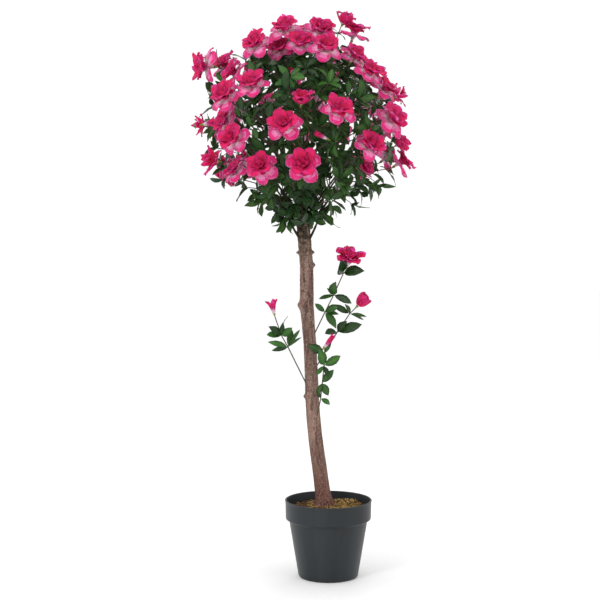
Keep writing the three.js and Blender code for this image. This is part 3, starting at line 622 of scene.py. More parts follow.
def spray_path(goal):
    """The wire of a spray: an arch from the trunk's middle most of the way to its goal."""
    share = min(max((goal[2] - SPRAYS_FROM) / (SPRAYS_TO - SPRAYS_FROM), 0), 1)
    root = trunk_centre(ROOTS_LOW + (ROOTS_HIGH - ROOTS_LOW) * share)
    middle = np.array([CROWN_X, 0.0, (root[2] + WAIST) / 2])
    tip = middle + (goal - middle) * STEM_SHARE
    run = tip - root
    level = math.hypot(run[0], run[1])
    bend = (root + tip) / 2 + np.array([run[0] / level, run[1] / level, 0]) * STEM_ARCH * run[2]
    bend[2] += STEM_ARCH * level
    return bent_line(root, bend, tip, WIRE_STEPS)


spray_rows = dict(SPRAYS)
for name, (bearing, height, count) in OTHER_SPRAYS.items():
    spray_rows[name] = ring_blooms(bearing, height, count, crown_dice)
wires, blooms = {}, []
for name, rows in spray_rows.items():
    centres = [crown_point(*row[:3]) for row in rows]
    if rows:
        goal = np.mean(centres, axis=0)
    else:
        bearing, height, _ = OTHER_SPRAYS[name]
        goal = crown_point(bearing, height, crown_radius(height))
    wires[name] = spray_path(goal)
    for centre, (bearing, height, _, size, *special) in zip(centres, rows):
        form, tilt, turn = (*special, *PLAIN_BLOOM[len(special):])
        turn, tilt = crown_dice.normal((turn, tilt), AXIS_SPREAD)
        axis = facing(bearing + turn, height, BLOOM_TILT, tilt)
        blooms.append({"spray": name, "centre": centre, "axis": axis, "size": size, "form": form})
print(len(wires), "sprays with", len(blooms), "blooms")

# %% [markdown]
# ## Leaves
# A leaf is about 39 mm long and 16 mm wide, blunt or pointed, with a fine rib and a slightly folded,
# arched blade. An image on a flat card is the usual short cut, but it looks wrong from the side. So
# a leaf is a thin closed skin of seven rings, whose top, rib and underside have materials of their
# own. A few shapes are made once, and each leaf is one of them, turned into its place.

# %% Leaf shapes
LEAF_SHARES = np.array([0.0, 0.07, 0.22, 0.42, 0.64, 0.84, 1.0])
BLUNT_HALVES = np.array([0.014, 0.018, 0.13, 0.205, 0.225, 0.155, 0.008])
SHARP_HALVES = np.array([0.014, 0.018, 0.135, 0.205, 0.19, 0.095, 0.004])
LEAF_ACROSS = np.array([-1, -0.52, -0.05, 0.05, 0.52, 1, 0.5, -0.5])
LEAF_TOP_SIDES, LEAF_THICKNESS, RIB_HEIGHT = 5, 0.011, 0.012
SHAPE_COUNT = 14
leaf_dice = np.random.default_rng(97)
leaf_skins = []


def leaf_shape(dice):
    """One leaf of length 1 along +X with its face to +Z, as a grid of rings."""
    arch, fold = dice.uniform(0.2, 1.2), dice.uniform(0.1, 0.42)
    wave, phase = dice.uniform(0.0, 0.03), dice.uniform(0, 6.3)
    slim, pointed, sway = dice.uniform(0.8, 1.12), dice.uniform(0, 1), dice.normal(0, 0.1)
    halves = slim * (BLUNT_HALVES + (SHARP_HALVES - BLUNT_HALVES) * pointed)
    steps = np.diff(LEAF_SHARES, prepend=0)
    angles = 0.25 - arch * LEAF_SHARES**1.3
    x, z = np.cumsum(steps * np.cos(angles)), np.cumsum(steps * np.sin(angles))
    grid = np.empty((len(LEAF_SHARES), len(LEAF_ACROSS), 3))
    for i, half in enumerate(halves):
        for j, across in enumerate(LEAF_ACROSS):
            side = abs(across) * half
            rib = RIB_HEIGHT if abs(across) < 0.1 and 0 < i < len(LEAF_SHARES) - 1 else 0.0
            ripple = wave * across * across * math.sin(phase + 9 * LEAF_SHARES[i] + 1.5 * across)
            lift = fold * side + rib + ripple - (LEAF_THICKNESS if j > LEAF_TOP_SIDES else 0.0)
            bent = across * half + sway * x[i] * (x[i] - x[-1])
            grid[i, j] = (x[i] - 0.2 * side * math.sin(angles[i]), bent, z[i] + lift)
    return grid


LEAF_SHAPES = [leaf_shape(leaf_dice) for _ in range(SHAPE_COUNT)]


def add_leaf(root, along, face, length, tint, dice, wide=1, roll_range=0.24):
    """Puts one of the leaf shapes in its place, rolled a little round its own line."""
    shape = LEAF_SHAPES[dice.integers(len(LEAF_SHAPES))] * (1, wide, 1)
    along = unit(along)
    face = unit(face - face.dot(along) * along)
    roll = dice.normal(0, roll_range)
    rolled = face * math.cos(roll) + np.cross(face, along) * math.sin(roll)
    turned = shape @ np.array([along, np.cross(rolled, along), rolled]) * length
    leaf_skins.append((root + turned, LEAF_NUMBERS[tint]))


# %% Leaf finishes
LEAF_COLOURS = {
    "deep": ((34, 65, 28), (20, 44, 19), (48, 78, 34), (52, 76, 40)),
    "mid": ((47, 86, 32), (30, 62, 23), (68, 102, 44), (68, 94, 48)),
    "fresh": ((54, 102, 38), (38, 80, 30), (84, 126, 56), (80, 114, 56)),
}
# For each tint: the number of a material for each face of a leaf, of its blade, rib or underside.
LEAF_NUMBERS, leaf_finishes = [], []
for tint, (blade, shade, rib, under) in LEAF_COLOURS.items():
    first = len(leaf_finishes)
    ring = [first, first, first + 1, first, first] + [first + 2] * 3
    LEAF_NUMBERS.append(ring * (len(LEAF_SHARES) - 1) + [first + 2] * 2)
    leaf_finishes += [
        finish(f"leaf_{tint}_blade", blade, shade, amount=0.8, scale=60, rough=0.26, gloss=0.26,
               grain=(1100, 0.4, 0.35)),
        finish(f"leaf_{tint}_rib", rib, blade, amount=0.5, scale=90, rough=0.45, gloss=0.2),
        finish(f"leaf_{tint}_under", under, blade, amount=0.5, scale=80, rough=0.7, gloss=0.12,
               grain=(900, 0.5, 0.4)),
    ]
print(len(leaf_finishes), "leaf finishes")

# %% [markdown]
# ## Growing twigs and rosettes
# A twig leaves its wire at about 40 degrees, as in the solids, and bends to face outward where it
# ends. Long twigs carry a smaller side twig. A particle system could scatter the leaves, but it
# wouldn't know where to stop. So a rule sets them in rosettes, and skips each leaf that would cut the
# trunk, poke through a bloom or close a gap of sky.

# %% Where no leaf may be
# Where the sky shows through the crown from the front: rightward place, height, radius of the gap.
SKY = [
    (-190, 1088, 26), (-84, 1092, 7), (-62, 1066, 8), (-136, 968, 10), (-184, 972, 10), (-178, 902, 10),
    (-100, 846, 14), (4, 854, 10), (12, 816, 12), (94, 875, 10), (-22, 744, 20), (-2, 750, 12),
    (-75, 750, 9), (-128, 923, 6), (-14, 1016, 7), (-93, 1048, 7), (-288, 1020, 24), (-290, 940, 13),
]
EYE = np.array([-61.5, -3200.0, 847.0])
# A full bloom's petals reach this far from its centre, and this far behind it.
PETAL_REACH, PETALS_BEHIND, TRUNK_CLEARANCE = 37, 13, 3
BLOOM_CENTRES, BLOOM_AXES, BLOOM_SIZES = (
    np.array([bloom[key] for bloom in blooms]) for key in ("centre", "axis", "size")
)


def in_sky(point):
    """Whether a point shows in one of the crown's gaps, looked at from the front."""
    nearer = -EYE[1] / (point[1] - EYE[1])
    seen = EYE + (point - EYE) * nearer
    return any(math.hypot(seen[0] - x, seen[2] - height) < radius for x, height, radius in SKY)


def in_bloom(point):
    """Whether a point lies among the petals of a bloom."""
    apart = point - BLOOM_CENTRES
    distance = np.linalg.norm(apart, axis=1)
    ahead = np.einsum("ij,ij->i", apart, BLOOM_AXES)
    return bool(np.any((distance < PETAL_REACH * BLOOM_SIZES) & (ahead > -PETALS_BEHIND * BLOOM_SIZES)))


def in_trunk(point):
    if not TRUNK_FOOT < point[2] < TRUNK_TOP:
        return False
    return np.linalg.norm(point - trunk_centre(point[2])) < trunk_radius(point[2]) + TRUNK_CLEARANCE


# %% The growing rules
FORK_ANGLE = math.radians(40)
SAG = 0.25
TWIG_RADIUS, SIDE_TWIG_RADIUS, ROSETTE_SPREAD = 1.35, 1.0, 60
# The shares of deep, mid and fresh rosettes.
TINT_SHARES = [0.46, 0.41, 0.13]
# Twigs longer than this carry a side twig. Then its lean and length, and its leaves with their
# number, spread and size.
LONG_TWIG, SIDE_LEAN, SIDE_LENGTH, SIDE_LEAVES, SIDE_SPREAD, SIDE_SIZE = 60, 1.1, (26, 40), 4, 58, 0.88
twig_skins = []


def rosette(centre, axis, count, spread, length, tint, dice):
    """Leaves round an axis, opened by the spread angle and pulled down a little."""
    side, other = square_ways(axis)
    first = dice.uniform(0, 2 * math.pi)
    for k in range(count):
        turn = first + k / count * 2 * math.pi + dice.normal(0, 0.14)
        way = side * math.cos(turn) + other * math.sin(turn)
        opened = math.radians(spread + dice.uniform(-18, 15))
        opened += SAG * (axis[2] * math.sin(opened) - way[2] * math.cos(opened))
        along = way * math.sin(opened) + axis * math.cos(opened)
        root, size = centre - axis * dice.uniform(0, 7), length * dice.uniform(0.68, 1.18)
        spots = [root + along * size * share for share in (0.6, 1)]
        if not any(in_trunk(spot) or in_bloom(spot) or in_sky(spot) for spot in spots):
            add_leaf(root, along, axis, size, tint, dice)


def fork_on(wire, goal):
    """Where a twig to the goal leaves a wire at the fork angle, and the way of the wire there."""
    half = len(wire) // 2
    along, reach = np.gradient(wire, axis=0)[half:], goal - wire[half:]
    cosine = np.sum(reach * along, axis=1) / np.linalg.norm(reach, axis=1) / np.linalg.norm(along, axis=1)
    best = np.argmin(np.abs(np.arccos(cosine.clip(-1, 1)) - FORK_ANGLE))
    return wire[half + best], unit(along[best])


def twig(start, set_out, goal, axis, thick, steps=7):
    """A twig that sets out along its wire and arrives along the axis of what it carries."""
    reach = np.linalg.norm(goal - start)
    middle = (start + set_out * reach * 0.45 + goal - axis * reach * 0.4) / 2
    line = bent_line(start, middle, goal, steps)
    twig_skins.append(tube(line, np.linspace(thick, thick * 0.72, steps + 1), 6))
    return line


def crown_twig(point, axis):
    """A twig to a point, from the wire that ends nearest to it."""
    nearest = min(wires.values(), key=lambda wire: np.linalg.norm(wire[-1] - point))
    start, set_out = fork_on(nearest, point)
    return twig(start, set_out, point, axis, TWIG_RADIUS)


def leafy_twig(point, axis, count, length, dice):
    """A twig to a rosette, with a smaller side twig partway."""
    line = crown_twig(point, axis)
    tint = int(dice.choice(len(TINT_SHARES), p=TINT_SHARES))
    rosette(point, axis, count, ROSETTE_SPREAD, length, tint, dice)
    if np.linalg.norm(point - line[0]) > LONG_TWIG:
        fork = line[len(line) * 5 // 8]
        side_axis = unit(axis + SIDE_LEAN * unit(np.cross(axis, dice.normal(size=3))))
        tip = fork + side_axis * dice.uniform(*SIDE_LENGTH)
        twig(fork, unit(line[-1] - line[-3]), tip, side_axis, SIDE_TWIG_RADIUS, 4)
        rosette(tip, side_axis, SIDE_LEAVES, SIDE_SPREAD, length * SIDE_SIZE, tint, dice)


# %% Wires and rosettes of the crown
GOLDEN_ANGLE, BLOOM_CLEARANCE = 137.508, 43
# Radii in millimetres. The first steps of each wire are the bough of the solids, a piece of its own.
BOUGH_STEPS, BOUGH_RADII, WIRE_RADII = 8, (2.9, 2.5), (2.7, 1.5)
bough_skins = []
for wire in wires.values():
    bough_skins.append(tube(wire[:BOUGH_STEPS + 1], np.linspace(*BOUGH_RADII, BOUGH_STEPS + 1), 8))
    twig_skins.append(tube(wire[BOUGH_STEPS:], np.linspace(*WIRE_RADII, len(wire))[BOUGH_STEPS:], 8))
# Share of the crown's reach, of its rise and of its drop, then twigs, leaves on each and their length.
SHELLS = [(0.9, 0.72, 1.0, 134, 6, 39), (0.6, 0.68, 0.7, 60, 6, 40), (0.36, 0.5, 0.5, 18, 5, 40)]
for share, rise_share, drop_share, count, leaf_count, length in SHELLS:
    for i in range(count):
        level = WAIST - CROWN_DROP + (CROWN_DROP + CROWN_RISE) * (i + 0.5) / count
        height = WAIST + (level - WAIST) * (rise_share if level > WAIST else drop_share)
        bearing = i * GOLDEN_ANGLE + crown_dice.uniform(-8, 8)
        point = crown_point(bearing, height, crown_radius(level) * share)
        if np.min(np.linalg.norm(BLOOM_CENTRES - point, axis=1)) > BLOOM_CLEARANCE:
            leafy_twig(point, facing(bearing, height, ROSETTE_TILT), leaf_count, length, crown_dice)
# The lowest leaves hang beside the trunk's top: where, which way and how many.
LOW_ROSETTES = [((-94, -56, 776), (-0.35, -0.35, -1), 5), ((-4, -54, 782), (0.6, -0.4, -1), 4)]
LOW_SPREAD, LOW_LENGTH, LOW_TINT = 44, 38, 1
for place, way, leaf_count in LOW_ROSETTES:
    point, axis = np.array(place, float), unit(way)
    crown_twig(point, axis)
    rosette(point, axis, leaf_count, LOW_SPREAD, LOW_LENGTH, LOW_TINT, crown_dice)
print(len(leaf_skins), "leaves so far")

# %% [markdown]
# ## Petals
# The petals are cut from dyed cloth that lets some light through, white at the foot and crimson or
# pink further out. They are closed skins too, with rings from the foot to the tip along a curve that
# opens away from the bloom's axis. A gradient would need unwrapped petals. Here the colour changes in
# bands from ring to ring, each a material of its own, which stays true when exported. On the face,
# the bands run up along the middle like flames.

# %% Petal bands
# Each band has its colour and the colour that it drifts to.
# The paler pink rim band is a painted highlight along the skirts' edges and tips and the cups' edges.
BAND_COLOURS = {
    "white_base": ((255, 222, 236), (252, 186, 214)), "blush": ((252, 166, 204), (244, 118, 174)),
    "pale_pink": ((240, 128, 178), (226, 78, 144)), "pink": ((220, 40, 114), (230, 72, 140)),
    "magenta": ((208, 36, 106), (192, 28, 90)), "pale_rim": ((236, 108, 162), (222, 72, 134)),
    "back_pale": ((252, 200, 220), (242, 142, 186)), "back_pink": ((226, 88, 148), (208, 58, 120)),
    "bright": ((216, 30, 92), (200, 26, 80)), "crimson": ((206, 24, 74), (184, 18, 60)),
    "deep": ((180, 16, 52), (150, 12, 42)), "throat": ((192, 18, 62), (166, 16, 54)),
    "tube": ((252, 210, 220), (242, 168, 196)), "calyx": ((134, 146, 68), (100, 120, 50)),
}
BAND = {name: index for index, name in enumerate(BAND_COLOURS)}
petal_finishes = [
    finish(f"petal_{band}", *colours, amount=0.6, scale=110, rough=0.6, gloss=0.12, grain=(1300, 0.35, 0.3),
           Subsurface_Weight=0.6, Subsurface_Radius=(1.0, 0.5, 0.7), Subsurface_Scale=0.003)
    for band, colours in BAND_COLOURS.items()
]
# The bands of a petal's nine rings from its foot to its tip, on its face and on its back.
PINK_FACE = ["white_base"] * 3 + ["blush", "pale_pink"] + ["pink"] * 2 + ["magenta", "pale_rim"]
PINK_BACK = ["back_pale"] * 3 + ["back_pink"] * 4 + ["pink", "pale_rim"]
RED_FACE = ["deep"] + ["crimson"] * 4 + ["bright"] * 3 + ["magenta"]
RED_BACK = ["back_pale", "back_pink"] + ["magenta"] * 3 + ["bright"] * 3 + ["pink"]
CUP_BACK = ["back_pale", "magenta"] + ["bright"] * 3 + ["magenta"] * 3 + ["pink"]
HEART_FACE = ["throat"] + ["crimson"] * 4 + ["bright"] * 4
# The curls sit deep in the cup and take mostly the bright red: painted light against the cup's shade.
CURL_FACE = ["crimson"] * 3 + ["bright"] * 6
PALE_FOOT_FACE = ["white_base", "pale_pink", "magenta"] + ["crimson"] * 4 + ["bright"] * 2
PALE_FOOT_BACK = ["tube", "back_pale", "back_pink", "magenta"] + ["bright"] * 5

# %% Cut the petals
PETAL_SHARES = np.array([0, 0.12, 0.27, 0.43, 0.58, 0.72, 0.84, 0.93, 0.985, 1.0])
PETAL_ACROSS = np.array([-1, -0.87, -0.45, 0, 0.45, 0.87, 1, 0.6, 0, -0.6])
PETAL_TOP_SIDES, PETAL_THICKNESS = 6, 0.5
FLAME = [2, 1, 0, 0, 1, 2]
FINE_SHARES = np.linspace(0, 1, 41)


def petal_bands(ring, dice):
    """One band for each face: the bands run up along the petal's middle, like flames."""
    last = len(ring["face"]) - 1
    bands = []
    for i in range(len(PETAL_SHARES) - 1):
        ahead = int(dice.choice([0, 0, 0, 1]))
        for j in range(len(PETAL_ACROSS)):
            on_face = j < PETAL_TOP_SIDES
            k = min(i + FLAME[j] + ahead, last - 2) if on_face and i < last - 2 else i
            # The edges take the ring's rim band, which on the skirts and cups is a painted highlight.
            at_edge = j in (0, PETAL_TOP_SIDES - 1) and i > 3
            bands.append(ring["rim"] if at_edge else ring["face" if on_face else "back"][k])
    return [BAND[name] for name in bands + [ring["back"][0], ring["back"][-1]]]


def petal_grid(ring, turn, opened, dice):
    """A petal in the bloom's own frame, which has the bloom's axis upright."""
    shares = PETAL_SHARES
    length, half = dice.uniform(*ring["length"]), dice.uniform(*ring["half"])
    tip_angle = dice.uniform(*ring["open_tip"]) + opened
    bend = (tip_angle - ring["open"]) * FINE_SHARES ** ring["bend"]
    angles = np.radians(ring["open"] + opened / 2 + bend)
    step = length / (len(FINE_SHARES) - 1)
    reach = ring["reach"] + np.cumsum(np.sin(angles)) * step
    height = ring["foot"] + np.cumsum(np.cos(angles)) * step
    foot_width = ring["foot_width"]
    widen = foot_width + (1 - foot_width) * np.sin(np.minimum(shares / 0.6, 1) * math.pi / 2)
    blunt = np.sqrt(np.clip(1 - ((shares - 0.58) / 0.42).clip(0) ** 2, 0.02, 1))
    sharp = np.clip(1 - ((shares - 0.3) / 0.7).clip(0) ** 1.2, 0.03, 1)
    half = half * widen * (blunt + (sharp - blunt) * ring["pointed"])
    phase, pitch, cup = dice.uniform(0, 6.3), dice.uniform(1.1, 1.8), dice.uniform(*ring["cup"])
    angle, middle, level = (np.interp(shares, FINE_SHARES, line) for line in (angles, reach, height))
    grid = np.empty((len(shares), len(PETAL_ACROSS), 3))
    for j, side in enumerate(PETAL_ACROSS):
        wave = np.sin(phase + 2 * math.pi * (pitch * shares + 0.75 * side))
        lift = ring["ruffle"] * wave * (abs(side) ** 1.4 * shares**1.2 + 0.4 * shares**6)
        lift += cup * shares * (side * side - 0.3)
        if j > PETAL_TOP_SIDES:
            lift -= PETAL_THICKNESS
        radius = middle - np.cos(angle) * lift
        around = turn + side * half / np.maximum(radius, ring["wrap"])
        rise = level + np.sin(angle) * lift
        grid[:, j] = np.stack([radius * np.cos(around), radius * np.sin(around), rise], axis=1)
    return grid


# %% [markdown]
# ## Forms of bloom
# An open bloom is one flower set in another: five broad pink petals hang under a ruffled crimson cup
# with a smaller heart. Others are half open, star-shaped or in bud. One model in several sizes would
# look stamped, so each form is a list of rings of petals. A ring has the petals' number, size and
# lean from the axis, with ranges where petals differ.

# %% Rings of petals
def petal_ring(count, reach, foot, length, half, lean, tip_lean, face, back, rim, **more):
    ring = {"count": count, "reach": reach, "foot": foot, "length": length, "half": half, "open": lean}
    ring |= {"open_tip": tip_lean, "face": face, "back": back, "rim": rim, "bend": 1.2, "ruffle": 2.2}
    return ring | {"cup": (-1, 3), "pointed": 0.0, "foot_width": 0.26, "wrap": 7, "turn": 0.0} | more


SKIRT = petal_ring(5, 6.4, 15, (29, 36), (17, 19.5), 68, (124, 150), PINK_FACE, PINK_BACK, "pale_rim",
                   wrap=9, foot_width=0.42)
RUFF = petal_ring(6, 4.8, 13, (32, 40), (15, 19), 18, (74, 108), RED_FACE, RED_BACK, "magenta",
                  bend=1.5, ruffle=3.3, turn=0.5)
HEART = petal_ring(6, 2.6, 15, (22, 32), (10, 14), 24, (62, 118), HEART_FACE, RED_FACE, "bright",
                   ruffle=3.4)
CURLS = petal_ring(4, 1.4, 17, (13, 22), (5, 8.5), 16, (24, 94), CURL_FACE, RED_FACE, "magenta",
                   ruffle=2.4, pointed=0.3, wrap=3.5)
CUP = petal_ring(6, 3.2, 3, (33, 38), (15, 17.5), 60, (6, 48), RED_FACE, CUP_BACK, "pale_rim",
                 bend=0.9, ruffle=1.8, pointed=0.5)
TULIP = petal_ring(6, 3.2, 3, (30, 34), (13, 15), 56, (-46, -10), RED_FACE, CUP_BACK, "bright",
                   bend=1.0, ruffle=1.2)
STAR = petal_ring(7, 3.6, 4, (28, 38), (8, 12), 46, (30, 110), RED_FACE, CUP_BACK, "magenta",
                  pointed=0.8, ruffle=2.4)
WIDE = petal_ring(5, 5.6, 12, (34, 40), (14, 16.5), 26, (70, 142), PALE_FOOT_FACE, RED_BACK, "magenta",
                  bend=1.6, pointed=0.15, ruffle=2.6)
TRUMPET = petal_ring(5, 2.8, 3, (33, 38), (10, 12), 14, (30, 54), PALE_FOOT_FACE, PALE_FOOT_BACK,
                     "bright", bend=2.4, pointed=0.5, ruffle=1.6, cup=(0, 1), wrap=3)
BUD = petal_ring(5, 2.4, 3, (30, 34), (6, 7), 10, (-8, 2), RED_FACE, PALE_FOOT_BACK, "bright",
                 bend=1.0, pointed=0.5, ruffle=0.6, cup=(0, 0.5), wrap=2.5)
BLOOM_FORMS = {
    "open": [SKIRT, RUFF, HEART, CURLS], "cup": [CUP, HEART], "star": [STAR, CURLS],
    "wide": [WIDE, HEART, CURLS], "tulip": [TULIP], "trumpet": [TRUMPET], "bud": [BUD],
}
TUBE_PROFILE = [(0.2, 0), (2.2, 0.3), (3.0, 4), (4.4, 9), (7.6, 15), (7.0, 15.3), (3.8, 9.4), (0.2, 7)]
CALYX_PROFILE = [(0.2, -7), (1.2, -6.6), (1.6, -2.4), (2.6, -0.8), (3.6, 2.6), (3.0, 3), (0.2, 2)]

# %% Build one bloom
# How far under a full bloom its twig or stem ends.
STALK = 5
outer_skins, inner_skins = [], []


def add_bloom(base, axis, size, form, dice):
    """A bloom with its green calyx, and with a pale tube if its petals stand high."""
    side, other = square_ways(axis)

    def add_part(skins, grid, bands):
        skins.append((base + size * (grid @ np.array([side, other, axis])), bands))

    if form in ("open", "wide"):
        add_part(outer_skins, lathed(TUBE_PROFILE, 10), BAND["tube"])
    add_part(outer_skins, lathed(CALYX_PROFILE, 8), BAND["calyx"])
    first = math.pi / 2 + dice.normal(0, 0.3)
    for ring in BLOOM_FORMS[form]:
        skins = outer_skins if ring is SKIRT else inner_skins
        for k in range(ring["count"]):
            turn = first + (k + ring["turn"]) / ring["count"] * 2 * math.pi + dice.normal(0, 0.14)
            # Petals that point down hang a little further, as cloth on a thin wire does.
            way = side * math.cos(turn) + other * math.sin(turn)
            opened = ring["open"] / 60 * (6 * max(-way[2], 0) + dice.normal(0, 4))
            add_part(skins, petal_grid(ring, turn, opened, dice), petal_bands(ring, dice))


# %% Set the blooms on the crown
FACE_HEIGHT, BLOOM_TWIG_RADIUS = 21, 1.4
# Under each bloom: how far down its leaves sit, their spread, their length and how many they are.
UNDER_BLOOM, UNDER_SPREAD, UNDER_LENGTH, UNDER_LEAVES, UNDER_LEAVES_LEFT = 13, 84, 36, 5, 3
UNDER_TINT_SHARES = [0.35, 0.45, 0.2]
bloom_dice = np.random.default_rng(53)
for bloom in blooms:
    axis, size = bloom["axis"], bloom["size"]
    base = bloom["centre"] - axis * FACE_HEIGHT * size
    start, set_out = fork_on(wires[bloom["spray"]], base)
    twig(start, set_out, base - axis * STALK * size, axis, BLOOM_TWIG_RADIUS)
    add_bloom(base, axis, size, bloom["form"], bloom_dice)
    tint = int(bloom_dice.choice(3, p=UNDER_TINT_SHARES))
    leaf_count = UNDER_LEAVES_LEFT if bloom["spray"].startswith("left") else UNDER_LEAVES
    rosette(base - axis * UNDER_BLOOM, axis, leaf_count, UNDER_SPREAD, UNDER_LENGTH, tint, bloom_dice)
print(len(blooms), "blooms set,", len(leaf_skins), "leaves so far")

# %% [markdown]
# ## Sprouts on the trunk
# Four short shoots stand on the bare trunk, each with a few leaves and one bloom or bud. A rule isn't
# enough for them, as they show clearly against the background: each leaf runs from its whorl to a tip
# of its own. The leaves turn to the front, as on the real tree.

# %% Where the sprouts' leaves are
# The left, tall, middle and low sprout: a height and a bearing on the trunk, the whorls, then the
# bloom with its place, lean, size and form. Each whorl has its place, then its leaves' tips, all as
# rightward, backward and upward places, and each leaf's width beside a common one.
SPROUTS = [
    (420, -66, [
        ((-87, -26, 503), [(-127, -36, 517, 0.8), (-120, -40, 498, 0.8), (-62, -20, 538, 0.5),
                           (-60, -32, 525, 0.4), (-78, -14, 541, 0.9)]),
        ((-101, -28, 528), [(-129, -46, 548, 1.3), (-131, -36, 530, 1.1), (-82, -44, 545, 1.3),
                            (-98, -36, 557, 1.0)]),
    ], ((-115, -30, 569), (-0.24, 0, 1), 0.86, "trumpet")),
    (528, 66, [
        ((-8, -20, 578), [(-29, -30, 596, 0.8), (19, -34, 590, 1), (14, -42, 547, 1), (20, -26, 574, 0.8)]),
        ((10, -21, 614), [(-20, -30, 608, 0.9), (14, -46, 643, 1.3), (47, -32, 597, 1),
                          (-5, -30, 630, 0.7)]),
        ((31, -23, 661), [(20, -64, 693, 1.55), (67, -58, 671, 1.25)]),
    ], ((38, -24, 668), (0.2, -0.5, 1), 1.05, "wide")),
    (458, 78, [
        ((18, -14, 534), [(-8, -28, 531, 1.15), (37, -30, 558, 1.2), (69, -20, 550, 0.9)]),
        ((45, -15, 574), [(8, -22, 593, 0.9), (37, -28, 594, 0.9), (80, -16, 568, 0.5),
                          (74, -26, 560, 0.4)]),
    ], ((57, -16, 586), (0.85, -0.3, 1), 0.98, "tulip")),
    (352, 40, [
        ((-17, -24, 392), [(-25, -36, 416, 0.8), (2, -36, 380, 1.2)]),
        ((-14, -27, 426), [(9, -34, 454, 1.2), (-1, -38, 401, 1.2), (-22, -36, 402, 0.8)]),
        ((-10, -31, 464), [(-20, -50, 500, 1.3), (24, -38, 485, 0.9), (16, -38, 477, 0.5),
                           (-3, -48, 442, 0.9), (-27, -44, 446, 0.7)]),
        ((-11, -34, 490), [(-42, -44, 509, 1.2), (4, -40, 517, 0.8)]),
    ], ((-14, -36, 498), (0.74, -0.3, 1), 1.0, "bud")),
]

# %% Grow the sprouts
# A leaf's arch makes it reach less far than it is long. The stems sag to the front, in millimetres.
LEAF_FACE, CHORD_SHARE, STEM_SAG = np.array([0.0, -1.0, 0.4]), 0.94, 1.5
SPROUT_ROLL, SPROUT_TINTS, STEM_RADIUS, TOP_STEM_RADIUS = 0.16, [0, 1, 1, 2], 1.3, 1.15
sprout_dice = np.random.default_rng(29)


def sprout_stem(start, end, radius):
    """A thin stem between two whorls, sagging a little to the front."""
    line = bent_line(start, (start + end) / 2 + (0, -STEM_SAG, 0), end, 6)
    twig_skins.append(tube(line, np.full(len(line), radius), 6))


for height, bearing, whorls, (place, lean, size, form) in SPROUTS:
    start = trunk_centre(height) + outward(bearing) * (trunk_radius(height) - 2)
    for whorl_place, tips in whorls:
        whorl = np.array(whorl_place, float)
        sprout_stem(start, whorl, STEM_RADIUS)
        for *tip, wide in tips:
            along = np.array(tip) - whorl
            length = np.linalg.norm(along) / CHORD_SHARE
            tint = int(sprout_dice.choice(SPROUT_TINTS))
            add_leaf(whorl, along, LEAF_FACE, length, tint, sprout_dice, wide, SPROUT_ROLL)
        start = whorl
    top, axis = np.array(place, float), unit(lean)
    sprout_stem(start, top, TOP_STEM_RADIUS)
    add_bloom(top + axis * STALK * size, axis, size, form, sprout_dice)
# The first sprout also has a wire tip that hooks over.
HOOK = [(-101, -30, 530), (-99, -32, 548), (-94, -33, 562), (-87, -33, 570)]
twig_skins.append(tube(HOOK, [0.9, 0.8, 0.7, 0.5], 5))
print(len(leaf_skins), "leaves in all")

# %% [markdown]
# ## Joining up
# The wires are covered in thin plastic, dark brown near the trunk and greener at the tips. A colour
# ramp along each wire would need unwrapped wires, so the boughs and the twigs have a finish each.

# %% Finish the plant
wire_cover = finish(
    "wire_cover", (54, 44, 32), (34, 34, 24), amount=0.8, scale=50, rough=0.6, gloss=0.25,
    grain=(600, 0.5, 0.5),
)
twig_cover = finish(
    "twig_cover", (84, 74, 58), (58, 62, 38), amount=0.9, scale=40, rough=0.6, gloss=0.25,
    grain=(700, 0.5, 0.4),
)
plant = crown_masses + sprout_masses
finished("boughs", bough_skins, [wire_cover], bough_nodes)
finished("twigs", twig_skins, [twig_cover], plant)
finished("leaves", leaf_skins, leaf_finishes, plant)
finished("outer_petals", outer_skins, petal_finishes, plant)
finished("inner_petals", inner_skins, petal_finishes, plant)

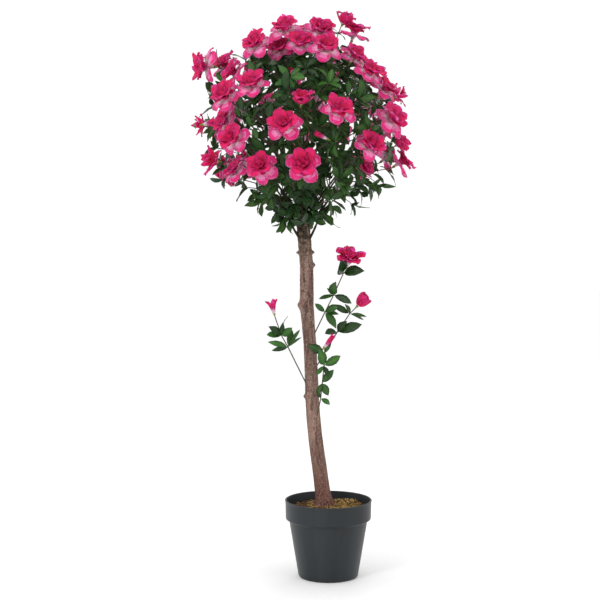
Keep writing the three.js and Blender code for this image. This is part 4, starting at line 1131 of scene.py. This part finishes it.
# %% [markdown]
# ## Studio
# A pale floor, a bright even backdrop and large soft lights, as in a catalogue. The camera stands
# 3.2 m away, a little above the middle of the tree, and looks slightly down. Its long lens keeps the
# trunk and pot from looking stretched. The plain Standard view keeps the strong pinks, which the
# default view would pale.

# %% Floor and lights
FLOOR_DROP = 0.0004
floor_mesh = bpy.data.meshes.new("floor")
floor_mesh.from_pydata([(-9, -9, 0), (9, -9, 0), (9, 9, 0), (-9, 9, 0)], [], [(0, 1, 2, 3)])
floor_mesh.materials.append(
    finish("floor_paint", (250, 250, 250), (247, 247, 247), amount=0.4, scale=2, rough=0.9)
)
floor = put_in_scene("floor", floor_mesh)
floor.location.z = -FLOOR_DROP

world = bpy.data.worlds.new("studio")
world.use_nodes = True
backdrop = world.node_tree.nodes["Background"].inputs
backdrop["Color"].default_value = (1, 1, 1, 1)
backdrop["Strength"].default_value = 1.05
bpy.context.scene.world = world

# Place and target in metres, width in metres and power in watts.
LIGHTS = {
    "key_light": ((-1.6, -2.4, 2.6), (0, 0, 0.8), 0.8, 26),
    "fill_light": ((2.2, -2.0, 1.4), (0, 0, 0.7), 1.2, 6),
    "back_light": ((0.6, 2.4, 2.4), (0, 0, 0.9), 1.4, 12),
}
for name, (place, target, size, power) in LIGHTS.items():
    lamp = bpy.data.lights.new(name, "AREA")
    lamp.shape, lamp.size, lamp.energy = "DISK", size, power
    made = put_in_scene(name, lamp)
    made.location = place
    made.rotation_mode = "QUATERNION"
    made.rotation_quaternion = (Vector(target) - Vector(place)).to_track_quat("-Z", "Y")


# %% Camera
# The lens as the photo shows it: its length in pixels of a picture of this width.
SENSOR_WIDTH, FOCAL_PIXELS, PICTURE_PIXELS, LOOKS_DOWN = 36, 1493, 600, 4.375
camera_data = bpy.data.cameras.new("camera")
camera_data.sensor_width = SENSOR_WIDTH
camera_data.lens = FOCAL_PIXELS / PICTURE_PIXELS * SENSOR_WIDTH
camera = put_in_scene("camera", camera_data)
camera.location = EYE * MM
camera.rotation_euler = (math.radians(90 - LOOKS_DOWN), 0, 0)
bpy.context.scene.camera = camera
bpy.context.scene.view_settings.view_transform = "Standard"
